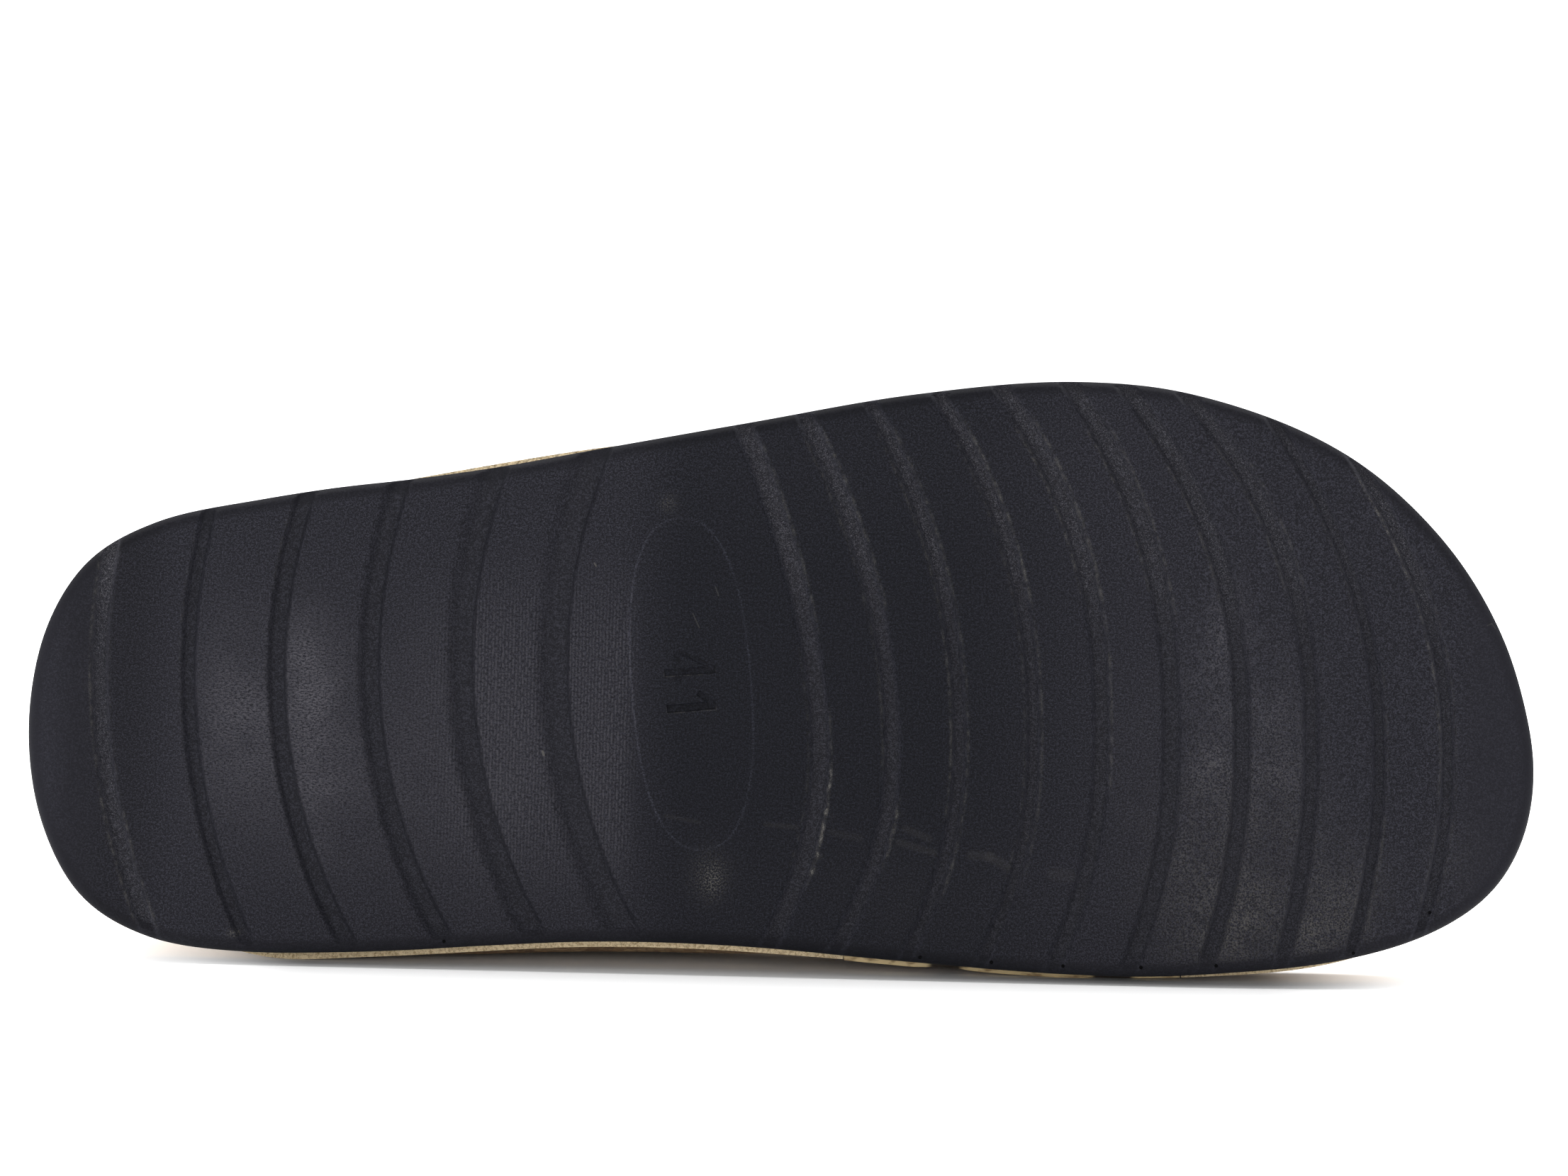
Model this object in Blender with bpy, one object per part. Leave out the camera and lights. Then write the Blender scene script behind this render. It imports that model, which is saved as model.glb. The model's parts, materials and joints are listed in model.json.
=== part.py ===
"""A right buckle slide sandal of size 41, lying on its inner side.

The shoe is worked out as it would stand, in millimetres. "Along" runs from the heel tip to the toe tip,
"across" is positive on the medial side, that of the big toe, and "up" is the height over the ground.
Points become metres where a mesh is made, and one empty then lays the whole shoe down on its medial side,
with the edge of the sole and the strap both on the floor.
"""

import functools
import math
from bisect import bisect_right
from collections import namedtuple

import bmesh
import bpy
from mathutils import Matrix, Vector

MM = 0.001
GAP = 0.3
SHARP_ANGLE = math.radians(35)

# Length of the sole, from the size number moulded into it
SHOE_SIZE = 41
PARIS_POINT = 20 / 3
LAST_ALLOWANCE = 2.67
SOLE_LENGTH = SHOE_SIZE * PARIS_POINT + LAST_ALLOWANCE

# Outline of the tread: its two edges at places along the sole
Edge = namedtuple("Edge", "along lateral medial")
SOLE_EDGES = (
    Edge(0, -1.0, -1.0),
    Edge(3, -19.2, 17.1),
    Edge(10, -30.8, 29.5),
    Edge(22, -38.3, 36.9),
    Edge(42, -43.2, 39.6),
    Edge(56, -45.7, 39.35),
    Edge(70, -47.6, 38.6),
    Edge(85, -50.1, 37.4),
    Edge(105, -54.2, 36.2),
    Edge(130, -59.2, 36.4),
    Edge(160, -65.1, 38.4),
    Edge(190, -68.2, 40.1),
    Edge(205, -67.5, 40.2),
    Edge(220, -64.3, 39.2),
    Edge(240, -56.1, 36.6),
    Edge(258, -41.2, 30.8),
    Edge(270, -22.8, 21.5),
    Edge(274.5, -9.2, 12.5),
    Edge(SOLE_LENGTH, 2.0, 2.0),
)

# Outsole
OUTSOLE_THICKNESS = 9.5
OUTSOLE_ROWS = 68
TOE_SPRING = 8.0
SPRING_START = 205
HEEL_BEVEL = 1.6
HEEL_BEVEL_LENGTH = 13
Rounding = namedtuple("Rounding", "inset up")
LOWER_EDGE = (
    Rounding(1.7, 0.0),
    Rounding(0.8, 0.35),
    Rounding(0.2, 1.1),
    Rounding(0.0, 2.2),
)

# Grooves of the tread. A sweep is how far the groove has curved back at the given distance from its apex.
GROOVE_NARROWING = 0.9
GROOVE_DEPTH = 1.5
GROOVE_STEPS = 16
GROOVE_OVERRUN = 4.0
GROOVE_MEDIAL_MARGIN = 2.0
CUTTER_SLACK = 1.0
HeelGroove = namedtuple("HeelGroove", "apex apex_across radius width")
HEEL_GROOVES = (
    HeelGroove(13.0, -14, 128, 3.4),
    HeelGroove(29.2, -14, 118, 3.1),
    HeelGroove(45.3, -14, 101, 3.8),
    HeelGroove(62.1, -16, 101, 4.4),
    HeelGroove(78.7, -16.7, 101, 5.4),
    HeelGroove(95.5, -17, 101, 6.4),
)
FORE_GROOVE_APEX_ACROSS = 2
LATERAL_SWEEP_AT = 42
MEDIAL_SWEEP_AT = 35
ForeGroove = namedtuple("ForeGroove", "apex lateral_sweep lateral_power medial_sweep width")
FORE_GROOVES = (
    ForeGroove(144.8, 8.1, 1.75, 9.0, 4.0),
    ForeGroove(158.0, 8.0, 1.95, 9.8, 3.5),
    ForeGroove(170.2, 6.7, 2.2, 8.5, 3.0),
    ForeGroove(183.7, 6.1, 2.4, 8.0, 3.0),
    ForeGroove(196.1, 5.5, 2.6, 7.1, 3.6),
    ForeGroove(208.9, 5.5, 2.55, 6.2, 3.9),
    ForeGroove(221.8, 6.3, 2.55, 5.4, 3.7),
    ForeGroove(234.5, 6.9, 2.6, 4.6, 3.4),
    ForeGroove(247.1, 8.3, 2.2, 5.3, 2.8),
    ForeGroove(259.8, 9.3, 2.2, 6.8, 2.9),
)

# Footbed. A reach is the share of the half width that the side of the hollow takes up.
Section = namedtuple("Section", "along floor lateral_rim medial_rim lateral_reach medial_reach")
FOOTBED_SECTIONS = (
    Section(0, 36.0, 36.0, 36.0, 0.60, 0.60),
    Section(10, 30.0, 35.5, 35.8, 0.60, 0.60),
    Section(34, 24.0, 34.0, 35.0, 0.60, 0.62),
    Section(70, 24.5, 32.0, 38.0, 0.55, 0.80),
    Section(105, 25.0, 30.0, 41.0, 0.50, 1.00),
    Section(140, 21.5, 27.0, 35.0, 0.40, 0.90),
    Section(170, 18.5, 24.5, 27.5, 0.30, 0.50),
    Section(200, 17.5, 23.5, 24.0, 0.25, 0.28),
    Section(235, 17.5, 23.0, 23.0, 0.25, 0.28),
    Section(262, 19.0, 23.0, 23.0, 0.35, 0.35),
    Section(SOLE_LENGTH, 23.0, 23.0, 23.0, 0.50, 0.50),
)
FOOTBED_FOOT = OUTSOLE_THICKNESS + GAP
FOOTBED_ROWS = 42
FOOTBED_COLUMNS = 10
RIM_ROUNDING = 1.0
BELLY_HEIGHT = 5.0
Mound = namedtuple("Mound", "along across height length width")
FOOTBED_MOUNDS = (
    Mound(150, -8, 2.2, 17, 15),
    Mound(214, -10, 1.6, 7, 34),
)
# Sides of the footbed: how far they stand past the outsole, bulge over that, and lean in as they rise
Side = namedtuple("Side", "along ledge belly lean_deg")
MEDIAL_SIDE = (
    Side(0, -0.6, 0.0, 4.0),
    Side(37, -0.4, 0.0, 7.0),
    Side(43, 1.0, 0.0, 7.0),
    Side(60, 1.05, 0.1, 7.0),
    Side(76, 1.05, 0.6, 5.0),
    Side(95, 0.95, 1.0, 2.5),
    Side(122, 0.95, 1.0, 2.5),
    Side(142, 0.95, 0.5, 5.0),
    Side(165, 0.85, 0.1, 7.0),
    Side(215, 0.65, 0.0, 7.0),
    Side(240, 0.55, 0.0, 7.0),
    Side(253, -0.3, 0.0, 6.0),
    Side(SOLE_LENGTH, -0.6, 0.0, 4.0),
)
LATERAL_SIDE = (
    Side(0, -0.6, 0.0, 4.0),
    Side(58, -0.4, 0.0, 4.0),
    Side(68, 0.4, 0.0, 4.0),
    Side(108, 0.4, 0.0, 4.0),
    Side(118, -0.4, 0.0, 4.0),
    Side(SOLE_LENGTH, -0.6, 0.0, 4.0),
)

# Insole
INSOLE_THICKNESS = 1.2
INSOLE_MARGIN = 0.9
MOST_DRAWN_IN = 0.8

# Upper: one strap of two halves, each standing on one side of the sole
STRAP_WALL = 2.2
STRAP_COLUMNS = 6
Foot = namedtuple("Foot", "start end proud lean_deg over_rim")
MEDIAL_FOOT = Foot(150, 212, 0.6, 7.0, 1.5)
LATERAL_FOOT = Foot(128, 192, -0.5, 4.0, 1.5)
FOOT_CLEARANCE = 0.9
FOOT_RAMP = 1.6
Crown = namedtuple("Crown", "along up across")
CROWNS = (
    Crown(110, 88.0, 2.0),
    Crown(150, 76.0, 7.0),
    Crown(185, 64.0, 11.0),
    Crown(225, 53.0, 14.0),
)
MEDIAL_RISE = 0.62
MEDIAL_ROOF = 0.55
LATERAL_ROOF = 0.42
LATERAL_RISE = 0.50
SECTION_STEPS = 40
UPRIGHT_SHARE = 0.25
STRAP_SLANT = math.radians(7)
BUCKLE_REACH = 30
BUCKLE_ALONG = 166
SHOULDER_AT = -27
SHOULDER_WIDTH = 54
TAIL_WIDTH = 34
TAIL_TAPER = 11
TAIL_TIP_AT = 47
TAIL_TIP_LENGTH = 11
TAIL_TIP_WIDTH = 13
TAIL_SINK = 0.4
TAIL_CLIMB_FROM = -8
TAIL_CLIMB_LENGTH = 17
TAIL_FALL_PAST_BAR = 3
TAIL_FALL_LENGTH = 11
CHAPE_AT = 7.5
CHAPE_WIDTH = 34
CHAPE_SPREAD_AT = 24
CHAPE_SPREAD_WIDTH = 54
BODY_STEPS = 20
TAIL_STEPS = 22
OUTER_STEPS = 18
CHAPE_STEPS = 4
HOLE_RADIUS = 1.7
HOLE_SIDES = 12
HOLE_PITCH = 9
PRONG_HOLE_AT = 5.9
PRONG_HOLE_STRETCH = 1.9
PRONG_HOLE_SPREAD = 1.3
HOLES_BEFORE = 1
HOLES_AFTER = 3

# Buckle
BAR_WIDTH = 3.6
BAR_HEIGHT = 2.2
BAR_CHAMFER = 0.7
FRAME_HALF_LENGTH = 12
FRAME_HALF_WIDTH = 19.5
FRAME_CORNER = 4.0
FRAME_CORNER_STEPS = 5
LONG_BAR_POINTS = (1 / 3, -1 / 3)
BAR_LIFT = STRAP_WALL + GAP + BAR_HEIGHT / 2
TAIL_OVER_BAR = BAR_LIFT + BAR_HEIGHT / 2 + GAP
PRONG_RADIUS = 1.1
PRONG_TIP_RADIUS = 0.8
PRONG_SIDES = 8
PRONG_LIFT_AT_BAR = BAR_LIFT + BAR_HEIGHT / 2 + GAP + PRONG_RADIUS
ProngPoint = namedtuple("ProngPoint", "at lift")
PRONG_PATH = (
    ProngPoint(8.3, 3.5),
    ProngPoint(6.8, 5.2),
    ProngPoint(5.2, 7.0),
    ProngPoint(2.5, 8.1),
    ProngPoint(-3.0, 7.9),
    ProngPoint(-8.0, PRONG_LIFT_AT_BAR + 0.5),
    ProngPoint(-FRAME_HALF_LENGTH, PRONG_LIFT_AT_BAR),
    ProngPoint(-14.6, PRONG_LIFT_AT_BAR - 0.2),
)

# Finishes
Finish = namedtuple("Finish", "name color roughness metallic")
FOAM = Finish("black_foam", (0.014, 0.015, 0.018), 0.75, 0.0)
CORK = Finish("cork", (0.42, 0.27, 0.13), 0.85, 0.0)
SUEDE = Finish("suede", (0.50, 0.36, 0.20), 0.95, 0.0)
LEATHER = Finish("tan_leather", (0.36, 0.20, 0.09), 0.65, 0.0)
BRASS = Finish("aged_brass", (0.55, 0.43, 0.24), 0.35, 1.0)


# Plain mathematics


def clamped(value, low=0.0, high=1.0):
    return min(max(value, low), high)


def mixed(start, end, share):
    return start + (end - start) * share


def eased(share):
    """A share from 0 to 1 that starts and ends level."""
    share = clamped(share)
    return share * share * (3 - 2 * share)


def smooth_curve(knots):
    """A function through (place, value) knots, sloped as a parabola at each and held past the ends."""
    places = [place for place, _ in knots]
    values = [value for _, value in knots]
    last = len(knots) - 1

    def chord(index):
        return (values[index + 1] - values[index]) / (places[index + 1] - places[index])

    def slope(index):
        if index == 0:
            return chord(0)
        if index == last:
            return chord(last - 1)
        before = places[index] - places[index - 1]
        after = places[index + 1] - places[index]
        return (chord(index - 1) * after + chord(index) * before) / (before + after)

    slopes = [slope(index) for index in range(last + 1)]

    def value_at(place):
        place = clamped(place, places[0], places[-1])
        index = min(bisect_right(places, place) - 1, last - 1)
        width = places[index + 1] - places[index]
        t = (place - places[index]) / width
        start = values[index] * (1 + 2 * t) + slopes[index] * width * t
        end = values[index + 1] * (3 - 2 * t) - slopes[index + 1] * width * (1 - t)
        return start * (1 - t) ** 2 + end * t**2

    return value_at


def column_curve(rows, column):
    """The smooth course of one column of a table along the shoe."""
    return smooth_curve([(row.along, getattr(row, column)) for row in rows])


# Outline of the sole


def turn_at(along):
    """The angle round the outline, 0 at the heel tip and pi at the toe tip."""
    return math.acos(clamped(1 - 2 * along / SOLE_LENGTH, -1, 1))


def along_at(turn):
    return SOLE_LENGTH / 2 * (1 - math.cos(turn))


def outline_course():
    """The edge's place across, round the whole outline: the medial side first, then back by the lateral."""
    medial = [(turn_at(edge.along), edge.medial) for edge in SOLE_EDGES]
    lateral = [(math.tau - turn_at(edge.along), edge.lateral) for edge in SOLE_EDGES[-2:0:-1]]
    tour = medial + lateral
    before = [(turn - math.tau, across) for turn, across in tour[-2:]]
    after = [(turn + math.tau, across) for turn, across in tour[:3]]
    return smooth_curve(before + tour + after)


OUTLINE = outline_course()


def medial_edge(along):
    return OUTLINE(turn_at(along))


def lateral_edge(along):
    return OUTLINE(math.tau - turn_at(along))


def outline_point(turn, grow=0.0):
    """The (along, across) point of the outline, moved out by grow."""
    step = 0.01
    ahead = Vector((along_at(turn + step), OUTLINE((turn + step) % math.tau)))
    behind = Vector((along_at(turn - step), OUTLINE((turn - step) % math.tau)))
    direction = (ahead - behind).normalized()
    outward = Vector((-direction.y, direction.x))
    return Vector((along_at(turn), OUTLINE(turn % math.tau))) + outward * grow


def toe_spring(along):
    share = max(0.0, along - SPRING_START) / (SOLE_LENGTH - SPRING_START)
    return TOE_SPRING * share**2


def ground(along):
    """Height of the tread: flat under heel and ball, lifted at the toe and a little at the heel tip."""
    heel = max(0.0, HEEL_BEVEL_LENGTH - along) / HEEL_BEVEL_LENGTH
    return toe_spring(along) + HEEL_BEVEL * heel**2


# Making objects


def material(finish):
    made = bpy.data.materials.new(finish.name)
    made.use_nodes = True
    shader = made.node_tree.nodes["Principled BSDF"]
    shader.inputs["Base Color"].default_value = (*finish.color, 1)
    shader.inputs["Roughness"].default_value = finish.roughness
    shader.inputs["Metallic"].default_value = finish.metallic
    return made


def mesh_object(name, points, faces, finish=None, parent=None):
    """A closed mesh object from points in millimetres, with its faces turned outwards."""
    shell = bmesh.new()
    corners = [shell.verts.new(Vector(point) * MM) for point in points]
    for face in faces:
        shell.faces.new([corners[index] for index in face])
    bmesh.ops.recalc_face_normals(shell, faces=shell.faces)
    mesh = bpy.data.meshes.new(name)
    shell.to_mesh(mesh)
    shell.free()
    made = bpy.data.objects.new(name, mesh)
    bpy.context.collection.objects.link(made)
    made.parent = parent
    if finish:
        mesh.materials.append(finish)
        mesh.shade_smooth()
        mesh.set_sharp_from_angle(angle=SHARP_ANGLE)
    return made


def helper_object(name, points, faces, parent):
    made = mesh_object(name, points, faces, parent=parent)
    made.hide_render = True
    made.display_type = "WIRE"
    return made


def add_boolean(target, other, operation):
    modifier = target.modifiers.new(other.name, "BOOLEAN")
    modifier.operation = operation
    modifier.solver = "EXACT"
    modifier.object = other


def ring_faces(rings, size):
    """Quads between rings of the same size, each ring closed on itself."""
    faces = []
    for ring in range(rings - 1):
        for index in range(size):
            following = (index + 1) % size
            low, high = ring * size, (ring + 1) * size
            faces.append((low + index, low + following, high + following, high + index))
    return faces


def strip_faces(rows, start):
    """Cross strips that close an outline ring, whose points pair up across the shoe row by row."""
    size = 2 * rows
    faces = []
    for row in range(rows):
        corners = (row, row + 1, (size - row - 1) % size, (size - row) % size)
        faces.append([start + corner for corner in dict.fromkeys(corners)])
    return faces


def sheet_mesh(ribs, thickness_map):
    """A closed wall over a grid of ribs: its points on the inner and the outer side, and its faces."""
    rows, columns = len(ribs), len(ribs[0])
    inner = [thickness_map(cell, 0) for rib in ribs for cell in rib]
    outer = [thickness_map(cell, 1) for rib in ribs for cell in rib]
    shift = rows * columns
    faces = []
    for row in range(rows - 1):
        for column in range(columns - 1):
            a = row * columns + column
            quad = (a, a + 1, a + columns + 1, a + columns)
            faces.append(quad)
            faces.append(tuple(shift + corner for corner in reversed(quad)))
    rim = [row * columns for row in range(rows - 1)]
    rim += [(rows - 1) * columns + column for column in range(columns - 1)]
    rim += [row * columns + columns - 1 for row in range(rows - 1, 0, -1)]
    rim += [column for column in range(columns - 1, 0, -1)]
    for a, b in zip(rim, rim[1:] + rim[:1]):
        faces.append((a, b, shift + b, shift + a))
    return inner + outer, faces


# Outsole


def heel_groove(groove):
    """The groove's place along, as a function of its place across: an arc that bulges to the heel."""

    def along(across):
        side = across - groove.apex_across
        return groove.apex + groove.radius - math.sqrt(groove.radius**2 - side**2)

    return along


def fore_groove(groove):
    """The same for the forefoot, where the curves bulge to the toe."""

    def along(across):
        side = across - FORE_GROOVE_APEX_ACROSS
        if side < 0:
            return groove.apex - groove.lateral_sweep * (-side / LATERAL_SWEEP_AT) ** groove.lateral_power
        return groove.apex - groove.medial_sweep * (side / MEDIAL_SWEEP_AT) ** 2

    return along


def groove_path(course):
    """Points from beyond the lateral edge to just short of the medial one."""
    step = 0.25
    start = 0.0
    while start > lateral_edge(course(start)) - GROOVE_OVERRUN:
        start -= step
    end = 0.0
    while end < medial_edge(course(end)) - GROOVE_MEDIAL_MARGIN:
        end += step
    places = [mixed(start, end, index / GROOVE_STEPS) for index in range(GROOVE_STEPS + 1)]
    return [Vector((course(across), across)) for across in places]


def groove_cutter(course, width):
    """A swept bar with slanted sides, open to below the tread."""
    path = groove_path(course)
    mouth = width + GROOVE_NARROWING / GROOVE_DEPTH * CUTTER_SLACK
    floor = width - GROOVE_NARROWING
    profile = ((-mouth / 2, -CUTTER_SLACK), (mouth / 2, -CUTTER_SLACK))
    profile += ((floor / 2, GROOVE_DEPTH), (-floor / 2, GROOVE_DEPTH))
    points = []
    for index, place in enumerate(path):
        ahead = path[min(index + 1, GROOVE_STEPS)]
        behind = path[max(index - 1, 0)]
        direction = (ahead - behind).normalized()
        beside = Vector((direction.y, -direction.x))
        for offset, up in profile:
            spot = place + beside * offset
            points.append((spot.x, spot.y, up + ground(spot.x)))
    size = len(profile)
    faces = ring_faces(len(path), size)
    faces.append(tuple(range(size)))
    faces.append(tuple(range(len(points) - size, len(points))))
    return points, faces


def make_outsole(finish, parent):
    turns = [math.pi * row / OUTSOLE_ROWS for row in range(2 * OUTSOLE_ROWS)]
    points = []
    for level in LOWER_EDGE:
        for turn in turns:
            along, across = outline_point(turn, -level.inset)
            points.append((along, across, level.up + ground(along)))
    for turn in turns:
        along, across = outline_point(turn)
        points.append((along, across, OUTSOLE_THICKNESS + toe_spring(along)))
    faces = ring_faces(len(LOWER_EDGE) + 1, len(turns))
    faces += strip_faces(OUTSOLE_ROWS, 0)
    faces += strip_faces(OUTSOLE_ROWS, len(LOWER_EDGE) * len(turns))
    outsole = mesh_object("outsole", points, faces, finish, parent)

    grooves = [(heel_groove(groove), groove.width) for groove in HEEL_GROOVES]
    grooves += [(fore_groove(groove), groove.width) for groove in FORE_GROOVES]
    cutter_points, cutter_faces = [], []
    for course, width in grooves:
        points, faces = groove_cutter(course, width)
        start = len(cutter_points)
        cutter_points += points
        cutter_faces += [tuple(start + corner for corner in face) for face in faces]
    cutters = helper_object("groove_cutters", cutter_points, cutter_faces, parent)
    add_boolean(outsole, cutters, "DIFFERENCE")
    return outsole


# Footbed and insole


def section_curve(column):
    """One column of the footbed's sections, drawn round the tips so that the hollow is round there."""
    course = smooth_curve([(turn_at(row.along), getattr(row, column)) for row in FOOTBED_SECTIONS])
    return lambda along: course(turn_at(along))


FLOOR = section_curve("floor")
RIM = {-1: section_curve("lateral_rim"), 1: section_curve("medial_rim")}
REACH = {-1: section_curve("lateral_reach"), 1: section_curve("medial_reach")}
SIDE_ROWS = {-1: LATERAL_SIDE, 1: MEDIAL_SIDE}
LEDGE = {side: column_curve(rows, "ledge") for side, rows in SIDE_ROWS.items()}
BELLY = {side: column_curve(rows, "belly") for side, rows in SIDE_ROWS.items()}
LEAN = {side: column_curve(rows, "lean_deg") for side, rows in SIDE_ROWS.items()}
STRAP_FOOT = {-1: LATERAL_FOOT, 1: MEDIAL_FOOT}


def foot_grow(side, height):
    """How far the inner face of the strap's foot stands out past the outsole, at a height over its end."""
    foot = STRAP_FOOT[side]
    return foot.proud - STRAP_WALL - math.tan(math.radians(foot.lean_deg)) * height


def foot_share(side, along):
    """1 where the strap stands at this side, 0 away from it, with a short ramp at each end."""
    foot = STRAP_FOOT[side]
    outside = max(foot.start - FOOT_CLEARANCE - along, along - foot.end - FOOT_CLEARANCE)
    return clamped(1 - outside / FOOT_RAMP)


def side_grow(side, along, height):
    """How far the side of the footbed stands out past the outsole, at a height over its lower edge."""
    share = clamped(height / BELLY_HEIGHT)
    lean = math.tan(math.radians(LEAN[side](along))) * height
    free = LEDGE[side](along) + BELLY[side](along) * math.sin(share * math.pi / 2) - lean
    return mixed(free, foot_grow(side, height) - GAP, foot_share(side, along))


def footbed_turns():
    """The rows of the footbed: evenly round the outline, and at the ends of the strap's two feet."""
    marks = []
    for foot in STRAP_FOOT.values():
        for end, way in ((foot.start, -1), (foot.end, 1)):
            near = end + way * FOOT_CLEARANCE
            marks += [turn_at(near), turn_at(near + way * FOOT_RAMP)]
    spacing = math.pi / FOOTBED_ROWS
    even = [spacing * row for row in range(1, FOOTBED_ROWS)]
    kept = [turn for turn in even if min(abs(turn - mark) for mark in marks) > spacing / 4]
    return [0.0] + sorted(kept + marks) + [math.pi]


def side_turn(side, turn):
    return turn if side > 0 else math.tau - turn


def mound_height(along, across):
    total = 0.0
    for mound in FOOTBED_MOUNDS:
        far = ((along - mound.along) / mound.length) ** 2 + ((across - mound.across) / mound.width) ** 2
        total += mound.height * math.exp(-far)
    return total


def footbed_up(along, across, share):
    """Height of the footbed where share runs from -1 at the lateral rim to 1 at the medial."""
    side = 1 if share > 0 else -1
    reach = REACH[side](along)
    climb = clamped((abs(share) - 1 + reach) / reach)
    floor = FLOOR(along)
    hollow = mixed(floor, RIM[side](along), climb**2)
    return hollow + mound_height(along, across) * (1 - climb) + toe_spring(along)


def rim_grow(side, turn):
    """How far out the top of the rim lies."""
    along = along_at(turn)
    *_, height = wall_heights(side, along)
    return side_grow(side, along, height) - RIM_ROUNDING


def footbed_rows(turns):
    """Points of the footbed's top, row by row from lateral to medial, without the two tips."""
    rows = []
    for turn in turns[1:-1]:
        lateral = outline_point(side_turn(-1, turn), rim_grow(-1, turn))
        medial = outline_point(turn, rim_grow(1, turn))
        row = []
        for column in range(FOOTBED_COLUMNS + 1):
            share = column / FOOTBED_COLUMNS
            along, across = lateral.lerp(medial, share)
            row.append(Vector((along, across, footbed_up(along, across, 2 * share - 1))))
        rows.append(row)
    return rows


def tip_point(turn):
    along, across = outline_point(turn, rim_grow(1, turn))
    return Vector((along, across, footbed_up(along, across, 0.0)))


def fan_faces(tip, row):
    """Triangles from a tip to the points of the row beside it."""
    return [(tip, a, b) for a, b in zip(row, row[1:])]


def grid_faces(rows):
    faces = []
    for row, following in zip(rows, rows[1:]):
        for index in range(len(row) - 1):
            faces.append((row[index], row[index + 1], following[index + 1], following[index]))
    return faces


def add_top(points, faces, heel_tip, rows, toe_tip):
    """Adds a top of rows between two tips, and gives its rim: by the medial side to the toe, and back."""
    tips = (len(points), len(points) + 1)
    points += [heel_tip, toe_tip]
    index_rows = []
    for row in rows:
        index_rows.append(list(range(len(points), len(points) + len(row))))
        points += row
    faces += fan_faces(tips[0], index_rows[0])
    faces += grid_faces(index_rows)
    faces += fan_faces(tips[1], index_rows[-1])
    medial = [row[-1] for row in index_rows]
    lateral = [row[0] for row in reversed(index_rows)]
    return [tips[0], *medial, tips[1], *lateral]


def band_faces(low, high):
    """Quads between two closed rings of point numbers."""
    faces = []
    for index in range(len(low)):
        following = (index + 1) % len(low)
        faces.append((low[index], low[following], high[following], high[index]))
    return faces


def wall_heights(side, along):
    """Heights of the footbed's wall over its foot: its lower edge, its belly and just under the rim."""
    full = RIM[side](along) - RIM_ROUNDING - FOOTBED_FOOT
    return 0.0, min(BELLY_HEIGHT, full / 2), full


def make_footbed(finish, parent):
    turns = footbed_turns()
    rows = len(turns) - 1
    tour = [(1, turn) for turn in turns] + [(-1, turn) for turn in turns[-2:0:-1]]
    rings = list(zip(*[wall_heights(side, along_at(turn)) for side, turn in tour]))
    points = []
    for heights in rings:
        for (side, turn), height in zip(tour, heights):
            spot = outline_point(side_turn(side, turn), side_grow(side, along_at(turn), height))
            points.append((spot.x, spot.y, FOOTBED_FOOT + height + toe_spring(spot.x)))
    size = len(tour)
    faces = ring_faces(len(rings), size) + strip_faces(rows, 0)

    wall = range(len(points) - size, len(points))
    rim = add_top(points, faces, tip_point(0.0), footbed_rows(turns), tip_point(math.pi))
    faces += band_faces(wall, rim)
    return mesh_object("footbed", points, faces, finish, parent)


def drawn_in(edge, inner):
    """A point moved in from the rim by the margin of the lining, along the row that it ends."""
    return edge.lerp(inner, min(MOST_DRAWN_IN, INSOLE_MARGIN / (inner - edge).length))


def make_insole(finish, parent):
    """The lining follows the footbed's own rows, so that it lies evenly on them."""
    footbed = footbed_rows(footbed_turns())
    heel_tip = footbed[0][FOOTBED_COLUMNS // 2]
    toe_tip = footbed[-1][FOOTBED_COLUMNS // 2]
    rows = []
    for row in footbed[1:-1]:
        rows.append([drawn_in(row[0], row[1]), *row[1:-1], drawn_in(row[-1], row[-2])])
    points, faces, rims = [], [], []
    for lift in (GAP, GAP + INSOLE_THICKNESS):
        raised = Vector((0, 0, lift))
        lifted = [[point + raised for point in row] for row in rows]
        rims.append(add_top(points, faces, heel_tip + raised, lifted, toe_tip + raised))
    faces += band_faces(*rims)
    return mesh_object("insole", points, faces, finish, parent)


# Strap

CROWN_UP = column_curve(CROWNS, "up")
CROWN_ACROSS = column_curve(CROWNS, "across")


def bezier(points, share):
    a, b, c, d = points
    rest = 1 - share
    return a * rest**3 + b * (3 * rest**2 * share) + c * (3 * rest * share**2) + d * share**3


def foot_points(side, along):
    """Lower and upper end of the straight stretch of the strap's inner face beside the footbed."""
    edge = medial_edge(along) if side > 0 else lateral_edge(along)
    height = RIM[side](along) + STRAP_FOOT[side].over_rim - FOOTBED_FOOT
    low = Vector((edge + side * foot_grow(side, 0.0), FOOTBED_FOOT + toe_spring(along)))
    high = Vector((edge + side * foot_grow(side, height), FOOTBED_FOOT + height + toe_spring(along)))
    return low, high


@functools.lru_cache(maxsize=4096)
def strap_side(side, along):
    """Points (across, up) of the strap's inner face from the crown down one side, and their way down."""
    low, high = foot_points(side, along)
    crown = Vector((CROWN_ACROSS(along), CROWN_UP(along)))
    roof = MEDIAL_ROOF if side > 0 else LATERAL_ROOF
    rise = MEDIAL_RISE if side > 0 else LATERAL_RISE
    over = Vector((crown.x + roof * (high.x - crown.x), crown.y))
    upright = (high - low).normalized()
    under = high + upright * (rise * (crown.y - high.y))
    curve = (crown, over, under, high)
    points = [bezier(curve, step / SECTION_STEPS) for step in range(SECTION_STEPS + 1)] + [low]
    distances = [0.0]
    for before, after in zip(points, points[1:]):
        distances.append(distances[-1] + (after - before).length)
    return points, distances


def half_girth(side, along):
    return strap_side(side, along)[1][-1]


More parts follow.
